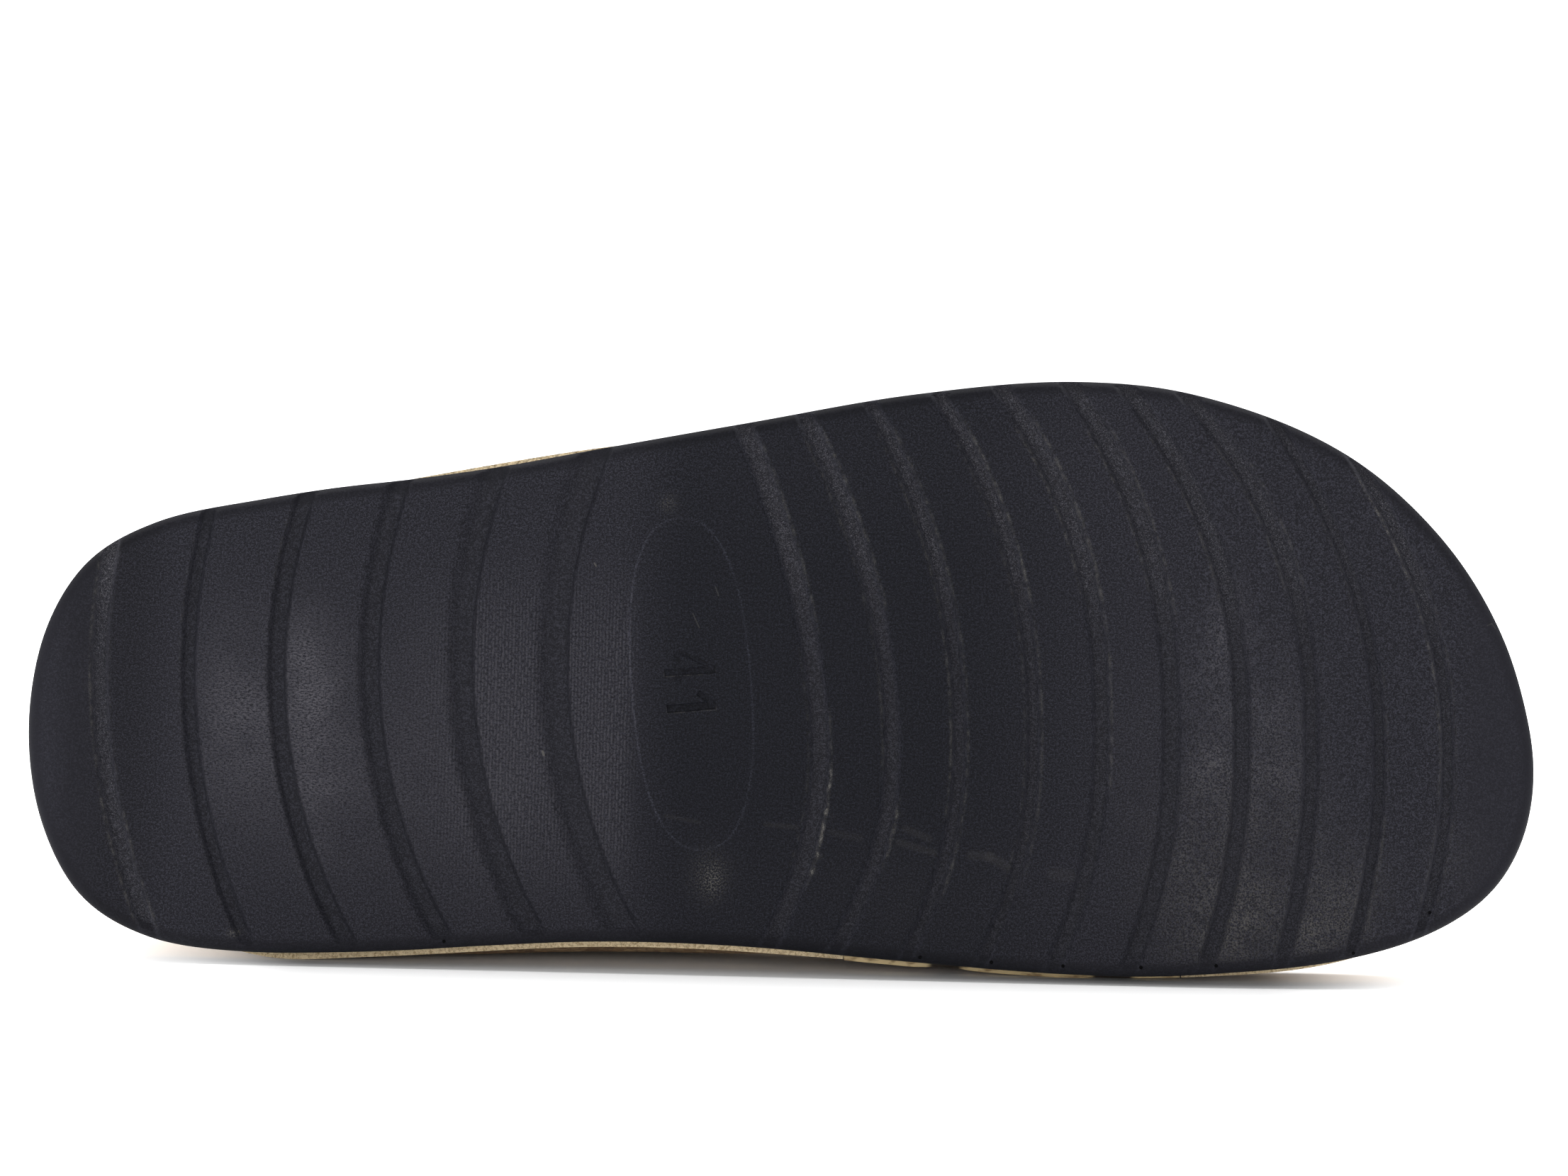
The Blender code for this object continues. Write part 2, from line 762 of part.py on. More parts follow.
def inner_face(along, reach):
    """A point of the strap's inner face. Reach is counted from the crown, positive to the lateral side."""
    points, distances = strap_side(1 if reach < 0 else -1, along)
    reach = abs(reach)
    index = clamped(bisect_right(distances, reach) - 1, 0, len(points) - 2)
    share = (reach - distances[index]) / (distances[index + 1] - distances[index])
    across, up = points[index].lerp(points[index + 1], share)
    return Vector((along, across, up))


def on_strap(along, reach, lift):
    """The point at a height over the strap's inner face, square to it."""
    step = 0.5
    lengthwise = inner_face(along + step, reach) - inner_face(along - step, reach)
    crosswise = inner_face(along, reach + step) - inner_face(along, reach - step)
    return inner_face(along, reach) + crosswise.cross(lengthwise).normalized() * lift


def buckle_plane(at, beside):
    """(along, reach) of a place in the buckle's own frame: at runs down the tail, beside to the toe."""
    cosine, sine = math.cos(STRAP_SLANT), math.sin(STRAP_SLANT)
    along = BUCKLE_ALONG - at * sine + beside * cosine
    reach = BUCKLE_REACH + at * cosine + beside * sine
    return along, reach


def tail_lift(at):
    """Height of the tail's inner face: under the front bar, over the heel bar and down on the outer half."""
    climb = eased((at - TAIL_CLIMB_FROM) / TAIL_CLIMB_LENGTH)
    fall = eased((at - FRAME_HALF_LENGTH - TAIL_FALL_PAST_BAR) / TAIL_FALL_LENGTH)
    return mixed(TAIL_OVER_BAR * climb, STRAP_WALL - TAIL_SINK, fall)


def tail_width(at):
    shoulder = mixed(SHOULDER_WIDTH, TAIL_WIDTH, eased((at - SHOULDER_AT) / TAIL_TAPER))
    past = clamped((at - TAIL_TIP_AT + TAIL_TIP_LENGTH) / TAIL_TIP_LENGTH)
    return mixed(TAIL_TIP_WIDTH, shoulder, math.sqrt(1 - past**2))


def chape_width(at):
    share = (at - CHAPE_AT) / (CHAPE_SPREAD_AT - CHAPE_AT)
    return mixed(CHAPE_WIDTH, CHAPE_SPREAD_WIDTH, eased(share))


def plane_rib(at, width, lift):
    """Cells (along, reach, lift) across the strap at one place of the buckle's frame."""
    rib = []
    for column in range(STRAP_COLUMNS + 1):
        beside = (column / STRAP_COLUMNS - 0.5) * width
        rib.append((*buckle_plane(at, beside), lift))
    return rib


def body_ribs(side, line_at, line_width, steps):
    """Ribs from one foot of the strap up to the line that is given in the buckle's frame."""
    foot = STRAP_FOOT[side]
    line = plane_rib(line_at, line_width, 0.0)
    ribs = []
    for step in range(steps):
        share = step / steps
        rib = []
        for column, (line_along, line_reach, _) in enumerate(line):
            start = mixed(foot.start, foot.end, column / STRAP_COLUMNS)
            along = mixed(start, line_along, eased((share - UPRIGHT_SHARE) / (1 - UPRIGHT_SHARE)))
            reach = mixed(-side * half_girth(side, along), line_reach, share)
            rib.append((along, reach, 0.0))
        ribs.append(rib)
    return ribs


def strap_wall(ribs):
    def place(cell, outer):
        along, reach, lift = cell
        return on_strap(along, reach, lift + outer * STRAP_WALL)

    return sheet_mesh(ribs, place)


def medial_half():
    ribs = body_ribs(1, SHOULDER_AT, SHOULDER_WIDTH, BODY_STEPS)
    for step in range(TAIL_STEPS + 1):
        at = mixed(SHOULDER_AT, TAIL_TIP_AT, math.sin(step / TAIL_STEPS * math.pi / 2))
        ribs.append(plane_rib(at, tail_width(at), tail_lift(at)))
    return strap_wall(ribs)


def lateral_half():
    ribs = body_ribs(-1, CHAPE_SPREAD_AT, CHAPE_SPREAD_WIDTH, OUTER_STEPS)
    for step in range(CHAPE_STEPS + 1):
        at = mixed(CHAPE_SPREAD_AT, CHAPE_AT, step / CHAPE_STEPS)
        ribs.append(plane_rib(at, chape_width(at), 0.0))
    return strap_wall(ribs)


def hole_cutters():
    """One round bar for each hole of the tail. The prong's hole is drawn out along the tail."""
    points, faces = [], []
    for number in range(-HOLES_BEFORE, HOLES_AFTER + 1):
        stretch = PRONG_HOLE_STRETCH if number == 0 else 1.0
        spread = PRONG_HOLE_SPREAD if number == 0 else 1.0
        middle = PRONG_HOLE_AT + number * HOLE_PITCH
        start = len(points)
        for end in (-CUTTER_SLACK, STRAP_WALL + CUTTER_SLACK):
            for index in range(HOLE_SIDES):
                angle = math.tau * index / HOLE_SIDES
                at = middle + HOLE_RADIUS * stretch * math.cos(angle)
                beside = HOLE_RADIUS * spread * math.sin(angle)
                points.append(on_strap(*buckle_plane(at, beside), tail_lift(at) + end))
        faces += [tuple(start + corner for corner in face) for face in ring_faces(2, HOLE_SIDES)]
        faces.append(tuple(range(start, start + HOLE_SIDES)))
        faces.append(tuple(range(start + HOLE_SIDES, start + 2 * HOLE_SIDES)))
    return points, faces


def make_upper(finish, parent):
    upper = mesh_object("upper", *medial_half(), finish, parent)
    add_boolean(upper, helper_object("hole_cutters", *hole_cutters(), parent), "DIFFERENCE")
    add_boolean(upper, helper_object("outer_half", *lateral_half(), parent), "UNION")
    return upper


# Buckle


def frame_path():
    """Places (at, beside) round the ring: four round corners, with points on the long bars between them."""
    long_side = FRAME_HALF_WIDTH - FRAME_CORNER
    short_side = FRAME_HALF_LENGTH - FRAME_CORNER
    path = []
    for quarter, (way_at, way_beside) in enumerate(((1, 1), (-1, 1), (-1, -1), (1, -1))):
        for step in range(FRAME_CORNER_STEPS):
            angle = math.pi / 2 * (quarter + step / (FRAME_CORNER_STEPS - 1))
            at = way_at * short_side + FRAME_CORNER * math.cos(angle)
            beside = way_beside * long_side + FRAME_CORNER * math.sin(angle)
            path.append((at, beside))
        if way_at * way_beside < 0:
            bar = [way_beside * long_side * share for share in LONG_BAR_POINTS]
            path += [(way_at * FRAME_HALF_LENGTH, beside) for beside in bar]
    return path


def bar_profile():
    """Eight corners of the bar: a flat bar with its edges taken off."""
    half, high, cut = BAR_WIDTH / 2, BAR_HEIGHT / 2, BAR_CHAMFER
    return (
        (half, -high + cut),
        (half, high - cut),
        (half - cut, high),
        (-half + cut, high),
        (-half, high - cut),
        (-half, -high + cut),
        (-half + cut, -high),
        (half - cut, -high),
    )


def make_buckle_frame(finish, parent):
    path = frame_path()
    count = len(path)
    profile = bar_profile()
    points = []
    for index, spot in enumerate(path):
        ahead = Vector(path[(index + 1) % count])
        behind = Vector(path[index - 1])
        direction = (ahead - behind).normalized()
        outward = Vector((direction.y, -direction.x))
        for offset, up in profile:
            place = Vector(spot) + outward * offset
            points.append(on_strap(*buckle_plane(*place), BAR_LIFT + up))
    faces = ring_faces(count, len(profile))
    last = (count - 1) * len(profile)
    for index in range(len(profile)):
        following = (index + 1) % len(profile)
        faces.append((last + index, last + following, following, index))
    return mesh_object("buckle_frame", points, faces, finish, parent)


def make_buckle_prong(finish, parent):
    points = []
    last = len(PRONG_PATH) - 1
    for index, spot in enumerate(PRONG_PATH):
        ahead = PRONG_PATH[min(index + 1, last)]
        behind = PRONG_PATH[max(index - 1, 0)]
        direction = Vector((ahead.at - behind.at, ahead.lift - behind.lift)).normalized()
        radius = mixed(PRONG_RADIUS, PRONG_TIP_RADIUS, (index / last) ** 3)
        for side in range(PRONG_SIDES):
            angle = math.tau * (side + 0.5) / PRONG_SIDES
            up = radius * math.cos(angle)
            at = spot.at - direction.y * up
            lift = spot.lift + direction.x * up
            points.append(on_strap(*buckle_plane(at, radius * math.sin(angle)), lift))
    faces = ring_faces(len(PRONG_PATH), PRONG_SIDES)
    faces.append(tuple(range(PRONG_SIDES)))
    faces.append(tuple(range(len(points) - PRONG_SIDES, len(points))))
    return mesh_object("buckle_prong", points, faces, finish, parent)


# Laying the shoe down


def lie_down(shoe, pieces):
    """Turns the shoe onto the medial edge of the sole and the strap, and centres it over the origin."""
    points = [vertex.co for piece in pieces for vertex in piece.data.vertices]
    edge = max(points, key=lambda point: point.y)
    higher = [point for point in points if point.z > edge.z + BELLY_HEIGHT * MM]
    lean = min(math.atan2(edge.y - point.y, point.z - edge.z) for point in higher)
    shoe.rotation_euler.x = -(math.pi / 2 + lean)
    turned = [Matrix.Rotation(shoe.rotation_euler.x, 3, "X") @ point for point in points]
    low = Vector([min(point[axis] for point in turned) for axis in range(3)])
    high = Vector([max(point[axis] for point in turned) for axis in range(3)])
    shoe.location = (-(low.x + high.x) / 2, -(low.y + high.y) / 2, -low.z)


def main():
    for old in list(bpy.data.objects):
        bpy.data.objects.remove(old, do_unlink=True)
    shoe = bpy.data.objects.new("shoe", None)
    bpy.context.collection.objects.link(shoe)

    brass = material(BRASS)
    pieces = [
        make_outsole(material(FOAM), shoe),
        make_footbed(material(CORK), shoe),
        make_insole(material(SUEDE), shoe),
        make_upper(material(LEATHER), shoe),
        make_buckle_frame(brass, shoe),
        make_buckle_prong(brass, shoe),
    ]
    lie_down(shoe, pieces + [bpy.data.objects["outer_half"]])


main()
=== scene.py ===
"""Looks of a buckle slide sandal: finishes, fine relief and a plain stage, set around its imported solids."""

import json
import math
from collections import namedtuple

import bmesh
import bpy
from bpy.props import FloatProperty, FloatVectorProperty, PointerProperty
from mathutils import Matrix, Vector, noise
from mathutils.geometry import delaunay_2d_cdt, interpolate_bezier, intersect_point_line
from mathutils.kdtree import KDTree


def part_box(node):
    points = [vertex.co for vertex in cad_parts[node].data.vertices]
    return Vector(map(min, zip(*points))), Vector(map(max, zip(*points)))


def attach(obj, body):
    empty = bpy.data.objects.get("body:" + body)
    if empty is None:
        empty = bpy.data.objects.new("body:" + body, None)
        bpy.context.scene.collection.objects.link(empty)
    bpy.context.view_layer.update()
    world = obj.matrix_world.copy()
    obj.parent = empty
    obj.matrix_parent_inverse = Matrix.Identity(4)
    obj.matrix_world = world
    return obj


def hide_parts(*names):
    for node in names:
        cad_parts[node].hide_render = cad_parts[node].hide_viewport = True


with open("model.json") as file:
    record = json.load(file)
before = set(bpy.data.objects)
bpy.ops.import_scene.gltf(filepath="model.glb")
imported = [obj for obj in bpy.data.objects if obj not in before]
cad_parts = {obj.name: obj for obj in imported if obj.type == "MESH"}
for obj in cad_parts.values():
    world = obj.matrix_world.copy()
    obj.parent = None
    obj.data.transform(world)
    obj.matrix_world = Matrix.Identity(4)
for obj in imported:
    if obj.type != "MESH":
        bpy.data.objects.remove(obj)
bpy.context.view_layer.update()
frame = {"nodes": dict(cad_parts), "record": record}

bl_info = {
    "name": "Buckle slide sandal",
    "version": (1, 0, 0),
    "blender": (4, 5, 0),
    "location": "3D View > Sidebar > Sandal",
    "description": "Dresses the packed solids of a slide sandal and sets a plain stage around it",
    "category": "Object",
}

MM = 0.001
PER_METRE = 1000.0
MERGE = 0.000001

# The shoe's own frame, in millimetres: along from heel to toe, across to the inner side, up from the tread.
TREAD = frame["record"]["mounts"][0]
TREAD_NORMAL = Vector(TREAD["axis"])
LEAN = math.asin(TREAD_NORMAL.z)
SHOE_ORIGIN = Vector((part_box("outsole")[0].x, TREAD["pos_m"][1], TREAD["pos_m"][2]))
SHOE_TURN = Matrix.Rotation(-math.radians(90) - LEAN, 3, "X")

# The tread's own sizes, in millimetres.
SPRING_START = 205.0
TOE_SPRING = 8.0
SOLE_LENGTH = 276.0
GROOVE_DEPTH = 1.5


def shoe_point(along, across, up):
    """A point given in the shoe's own millimetres, in the frame's metres."""
    return SHOE_ORIGIN + SHOE_TURN @ (Vector((along, across, up)) * MM)


def in_shoe(point):
    """A point of the frame in the shoe's own millimetres."""
    return (SHOE_TURN.transposed() @ (point - SHOE_ORIGIN)) * PER_METRE


def tread_rise(along):
    """How far the tread stands off its own plane at the toe spring, in millimetres."""
    share = max(0.0, along - SPRING_START) / (SOLE_LENGTH - SPRING_START)
    return TOE_SPRING * share * share


def held(share):
    """A share kept between 0 and 1."""
    return min(1.0, max(0.0, share))


def eased(share):
    """A share kept between 0 and 1 and smoothed at both ends."""
    kept = held(share)
    return kept * kept * (3 - 2 * kept)


def between(rows, place):
    """The value at a place of a table of (place, value) rows, in straight steps."""
    if place <= rows[0][0]:
        return rows[0][1]
    for (low, start), (high, end) in zip(rows, rows[1:]):
        if place <= high:
            return start + (end - start) * (place - low) / (high - low)
    return rows[-1][1]


# A stretch of the shoe with soft ends, in millimetres: where it starts, is full, fades and ends.
Stretch = namedtuple("Stretch", "start full fade end")


def within(row, place):
    """How far a place is inside a stretch, from 0 to 1."""
    risen = eased((place - row.start) / (row.full - row.start))
    return risen * eased((row.end - place) / (row.end - row.fade))


class Wire:
    """One socket of a shader. Arithmetic on it adds Math nodes, and make() adds any other node."""

    def __init__(self, tree, socket=None):
        self.tree = tree
        self.socket = socket

    def plug(self, socket, value):
        """Links a wire to a socket, or sets the socket's own value."""
        if isinstance(value, Wire):
            self.tree.links.new(value.socket, socket)
        elif socket.type == "RGBA":
            socket.default_value = (*tuple(value)[:3], 1.0)
        else:
            socket.default_value = value

    def make(self, kind, settings=None, links=None, output=0):
        """Adds a node, sets its settings first, then its sockets, and returns one of its outputs."""
        node = self.tree.nodes.new(kind)
        for name, value in (settings or {}).items():
            if name == "stops":
                while len(node.color_ramp.elements) < len(value):
                    node.color_ramp.elements.new(1.0)
                for element, (place, color) in zip(node.color_ramp.elements, value):
                    element.position = place
                    element.color = (*color, 1.0)
            else:
                setattr(node, name, value)
        for name, value in (links or {}).items():
            self.plug(node.inputs[name], value)
        return Wire(self.tree, node.outputs[output])

    def math(self, operation, *values, clamp=False):
        settings = {"operation": operation, "use_clamp": clamp}
        return self.make("ShaderNodeMath", settings, dict(enumerate(values)))

    def __add__(self, other):
        return self.math("ADD", self, other)

    __radd__ = __add__

    def __sub__(self, other):
        return self.math("SUBTRACT", self, other)

    def __rsub__(self, other):
        return self.math("SUBTRACT", other, self)

    def __mul__(self, other):
        return self.math("MULTIPLY", self, other)

    __rmul__ = __mul__

    def __truediv__(self, other):
        return self.math("DIVIDE", self, other)

    def __pow__(self, other):
        return self.math("POWER", self, other)

    def __abs__(self):
        return self.math("ABSOLUTE", self)

    def held(self):
        """The value kept between 0 and 1."""
        return self.math("ADD", self, 0.0, clamp=True)

    def most(self, other):
        return self.math("MAXIMUM", self, other)

    def wave(self):
        return self.math("SINE", self)

    def step(self, low, high):
        """A soft step from 0 at low to 1 at high."""
        return self.make(
            "ShaderNodeMapRange",
            {"interpolation_type": "SMOOTHSTEP"},
            {"Value": self, "From Min": low, "From Max": high},
        )

    def within(self, row):
        """How far this place is inside a stretch, from 0 to 1."""
        return self.step(row.start, row.full) * self.step(row.end, row.fade)

    def tint(self, under, over):
        """The colour over laid on the colour under, as much as this value says."""
        settings = {"data_type": "RGBA", "clamp_factor": True}
        return self.make("ShaderNodeMix", settings, {0: self, 6: under, 7: over}, output=2)

    def scaled(self, factors):
        """A vector stretched along its own axes."""
        return self.make("ShaderNodeVectorMath", {"operation": "MULTIPLY"}, {0: self, 1: factors})

    def dimmed(self, share):
        """A colour made darker or brighter by a value."""
        return self.make("ShaderNodeVectorMath", {"operation": "SCALE"}, {0: self, "Scale": share})

    def moved(self, other):
        return self.make("ShaderNodeVectorMath", {"operation": "ADD"}, {0: self, 1: other})

    def parts(self):
        """The three parts of a vector."""
        return [self.make("ShaderNodeSeparateXYZ", links={0: self}, output=part) for part in range(3)]

    def noise(self, scale, detail=2.0, roughness=0.5, output=0):
        return self.make(
            "ShaderNodeTexNoise",
            links={"Vector": self, "Scale": scale, "Detail": detail, "Roughness": roughness},
            output=output,
        )

    def cells(self, scale, feature="F1", output="Distance"):
        links = {"Vector": self, "Scale": scale}
        return self.make("ShaderNodeTexVoronoi", {"feature": feature}, links, output)

    def attribute(self, name):
        settings = {"attribute_type": "GEOMETRY", "attribute_name": name}
        return self.make("ShaderNodeAttribute", settings, output="Fac")

    def shoe_place(self):
        """The place on the sandal in the shoe's own millimetres."""
        links = {
            "Vector": self.make("ShaderNodeTexCoord", output="Object"),
            "Location": -(SHOE_TURN.transposed() @ SHOE_ORIGIN) * PER_METRE,
            "Rotation": (math.radians(90) + LEAN, 0, 0),
            "Scale": (PER_METRE,) * 3,
        }
        return self.make("ShaderNodeMapping", {"vector_type": "POINT"}, links)

    def bump(self, distance, strength):
        """A normal for a height that this value gives."""
        return self.make("ShaderNodeBump", links={"Height": self, "Distance": distance, "Strength": strength})


def new_finish(name):
    """A fresh material, the start of its wiring and its shader."""
    material = bpy.data.materials.new(name)
    material.use_nodes = True
    tree = material.node_tree
    return material, Wire(tree), tree.nodes["Principled BSDF"]


def feed(wire, shader, **sockets):
    """Sets or links the shader's sockets, named with _ for each space."""
    for name, value in sockets.items():
        wire.plug(shader.inputs[name.replace("_", " ")], value)


# The values that the points of the tread and of the strap keep for their finishes.
TREAD_VALUES = ("groove", "pale", "rub", "lift", "side")
STRAP_VALUES = ("inside", "edge", "foot")

# Wear and dust on the tread, and a painted sheen at the toe's inner corner, in the shoe's own millimetres.
Patch = namedtuple("Patch", "along across half_along half_across share")
HEEL_WEAR = [Patch(*row) for row in (
    (38, -2, 10, 22, 0.43), (50, -13, 6, 10, 0.32), (52, 0, 9, 24, 0.42), (58, 6, 11, 24, 0.16),
    (71, 4, 12, 30, 0.15), (88, 6, 12, 30, 0.16), (104, 10, 8, 32, 0.08),
)]
FORE_DUST_AND_SHEEN = [Patch(*row) for row in (
    (217, -2, 8, 26, 0.40), (219, -22, 4, 10, 0.26), (228, 2, 9, 26, 0.28), (160, 28, 16, 10, 0.05),
    (225, 30, 15, 13, 0.40), (239, 26, 10, 16, 0.34), (212, 26, 8, 16, 0.18), (203, 4, 9, 26, 0.10),
    # This last patch is a painted sheen where the toe's inner corner curves up, in the dust's colour.
    (262, 18, 7, 8, 0.10),
)]
DUST_SPOTS = [Patch(*row) for row in (
    (125.1, 23.6, 4.2, 5.2, 0.15), (125.8, 24.6, 2.1, 3.2, 0.22),
    (116, -44, 1.8, 1.8, 0.16), (38.7, 36.2, 1.3, 0.8, 0.40),
)]
Scratch = namedtuple("Scratch", "along across to_along to_across half_width share")
SMEARS = [Scratch(*row) for row in (
    (135.2, 14.1, 140.8, 14.5, 0.6, 0.022), (147.2, 15.3, 152.4, 16.2, 0.9, 0.016),
    (160.7, 14.3, 165.0, 16.0, 0.9, 0.023), (159.6, 16.8, 166.1, 18.6, 0.9, 0.024),
    (172.8, 18.8, 176.1, 19.0, 1.2, 0.023), (176.1, 19.0, 179.3, 20.7, 1.2, 0.026),
    (187.8, 21.8, 191.0, 22.2, 1.6, 0.020), (117.0, 13.0, 123.0, 14.0, 0.5, 0.020),
)]
FIBRES = [Scratch(*row) for row in (
    (121.0, -24.0, 122.2, -21.5, 0.16, 0.08), (125.0, -29.0, 125.6, -27.4, 0.16, 0.08),
    (94.2, 1.8, 94.4, 2.4, 0.30, 0.30), (102.8, -32.8, 103.1, -32.3, 0.20, 0.20),
    (266.5, -25.5, 267.4, -25.9, 0.13, 0.07), (267.4, -25.9, 268.1, -25.0, 0.13, 0.07),
    (182.4, 14.3, 183.3, 15.2, 0.13, 0.06), (183.3, 15.2, 182.6, 16.0, 0.13, 0.06),
)]
PATCH_FALL = -1.5
WEAVE_PITCH = 0.61
MEAN_GRAIN = 0.36

# Where a tone of the tread sets in: the place, in millimetres, with none of it and the place with all of it.
HEEL_TIP = (16.0, 9.0)
TOE_TIP = (259.0, 267.0)
PALE_HEEL = (121.0, 104.0)
PALE_TOE = (164.0, 208.0)
BROWN_DUST = (-20.0, 34.0)
HEEL_SHADE = Stretch(2.0, 9.5, 18.0, 28.0)
WEAVE_ALONG = Stretch(64.0, 84.0, 108.0, 112.5)
# These two are measured to both sides of a middle.
WEAVE_ACROSS = (38.0, 12.0)
WEAVE_MIDDLE = -2.0
PALE_SIDES = (18.0, 44.0)
PALE_SIDES_MIDDLE = -12.0


def patches(along, across, rows):
    """Soft round patches in the shoe's own millimetres, added up."""
    total = 0.0
    for row in rows:
        off = (along - row.along) / row.half_along
        aside = (across - row.across) / row.half_across
        reach = off ** 2.0 + aside ** 2.0
        total = reach.math("EXPONENT", reach * PATCH_FALL) * row.share + total
    return total


def scratches(along, across, rows):
    """Thin straight marks in the shoe's own millimetres, added up."""
    total = 0.0
    for row in rows:
        run = row.to_along - row.along
        fall = row.to_across - row.across
        past = (along - row.along) * run + (across - row.across) * fall
        share = (past / (run * run + fall * fall)).held()
        off = along - row.along - share * run
        aside = across - row.across - share * fall
        reach = off ** 2.0 + aside ** 2.0
        total = reach.step(row.half_width ** 2, 0.0) * row.share + total
    return total


def foam_finish(look):
    """Black foam with a fine grain, dusty where it treads and paler in the grooves, with painted light, shade
    and sheen in places.
    """
    material, wire, shader = new_finish("black_foam")
    place = wire.shoe_place()
    along, across, _ = place.parts()
    groove, pale, rub, lift, side = (wire.attribute(name) for name in TREAD_VALUES)

    grain = (place.noise(4.2, 2.0, 0.6) * 0.65 + place.noise(2.3, 1.0) * 0.35).step(0.4, 0.68)
    grain = grain * (1 - 0.7 * side)
    ends = along.step(*HEEL_TIP) + along.step(*TOE_TIP)
    grain = MEAN_GRAIN + (grain - MEAN_GRAIN) * (1 - 0.5 * ends)
    fleck = place.scaled((1.7, 3.4, 1.0)).noise(1.0, 3.0, 0.8)
    speck = place.noise(3.0, 3.0, 0.7)
    salt = place.noise(6.5, 2.0, 0.6).step(0.48, 0.7)
    cloud = place.noise(0.08, 4.0, 0.6).step(0.35, 0.65)

    heel_wear = patches(along, across, HEEL_WEAR) * (1 - side)
    heel_dust = heel_wear * fleck.step(0.40, 0.62) * (0.7 + 0.6 * cloud)
    # Dust on the forefoot, and the painted sheen at the toe's inner corner.
    fore_dust_and_sheen_mask = patches(along, across, FORE_DUST_AND_SHEEN) * (1 - side)
    fore_dust_and_sheen = fore_dust_and_sheen_mask * speck.step(0.42, 0.66) * (0.5 + cloud)
    thread = (along * (math.tau / WEAVE_PITCH) + place.noise(0.4) * 4.0).wave() * 0.5 + 0.5
    dash = place.scaled((1.6, 2.0, 1.0)).noise(1.0, 1.0).step(0.36, 0.62)
    middle = abs(across - WEAVE_MIDDLE).step(*WEAVE_ACROSS)
    weave = thread * dash * along.within(WEAVE_ALONG) * middle

    sides = abs(across - PALE_SIDES_MIDDLE).step(*PALE_SIDES)
    tone = (along.step(*PALE_HEEL) + along.step(*PALE_TOE) + 0.27 * sides).held()
    shaded = along.within(HEEL_SHADE) * 0.25 + along.step(*TOE_TIP) * 0.1
    land = tone.tint(look.foam_color, look.foam_pale_color).dimmed((0.48 + 1.45 * grain) * (1 - shaded))
    land = (weave * 0.32).tint(land, look.heel_dust_color)
    land = heel_dust.held().tint(land, look.heel_dust_color)
    # The forefoot's dust colour also paints the sheen at the toe's inner corner.
    dust = across.step(*BROWN_DUST).tint(look.heel_dust_color, look.fore_dust_and_sheen_color)
    land = fore_dust_and_sheen.held().tint(land, dust)
    floor = (pale * salt).tint(look.groove_color, look.groove_grain_color)
    # The colour is scaled by painted light on groove sides, painted shade in pin holes and number strokes,
    # and the oval's worn line.
    color = groove.tint(land.dimmed(1 + lift), floor.dimmed((0.55 + 1.15 * grain) * (1 + lift)))

    grit = place.noise(5.5, 2.0, 0.6).step(0.42, 0.64)
    stretch = place.noise(0.5, 3.0, 0.7).step(0.42, 0.64)
    broken = (0.2 + 0.8 * grit) * (0.12 + stretch)
    # Rubbed groove lips take the rim colour, and so does the painted highlight along the lower side of the
    # number's strokes.
    color = (rub * broken * 0.8).held().tint(color, look.rim_color)
    spots = patches(along, across, DUST_SPOTS) * speck.step(0.46, 0.64)
    marks = scratches(along, across, SMEARS) * (0.6 + 0.8 * speck) + scratches(along, across, FIBRES)
    color = (spots + marks).held().tint(color, look.dust_color)

    height = grain * 0.5 + fleck * 0.35 + weave * 0.3 + place.noise(0.25, 2.0) * 0.8
    feed(
        wire, shader,
        Base_Color=color,
        Roughness=0.62 + 0.15 * grain,
        Normal=height.bump(0.12 * MM, 0.5),
        Specular_IOR_Level=look.foam_gloss,
    )
    return material


# The cork's cut underside, paler and painted lighter, and the painted shade low on the arch's wall: with none
# of it, and with all of it.
CORK_UNDERSIDE = (10.1, 9.9)
ARCH_SHADE_ALONG = Stretch(66.0, 84.0, 128.0, 148.0)
ARCH_SHADE_ACROSS = (28.0, 34.0)
ARCH_SHADE_UP = (17.0, 12.0)


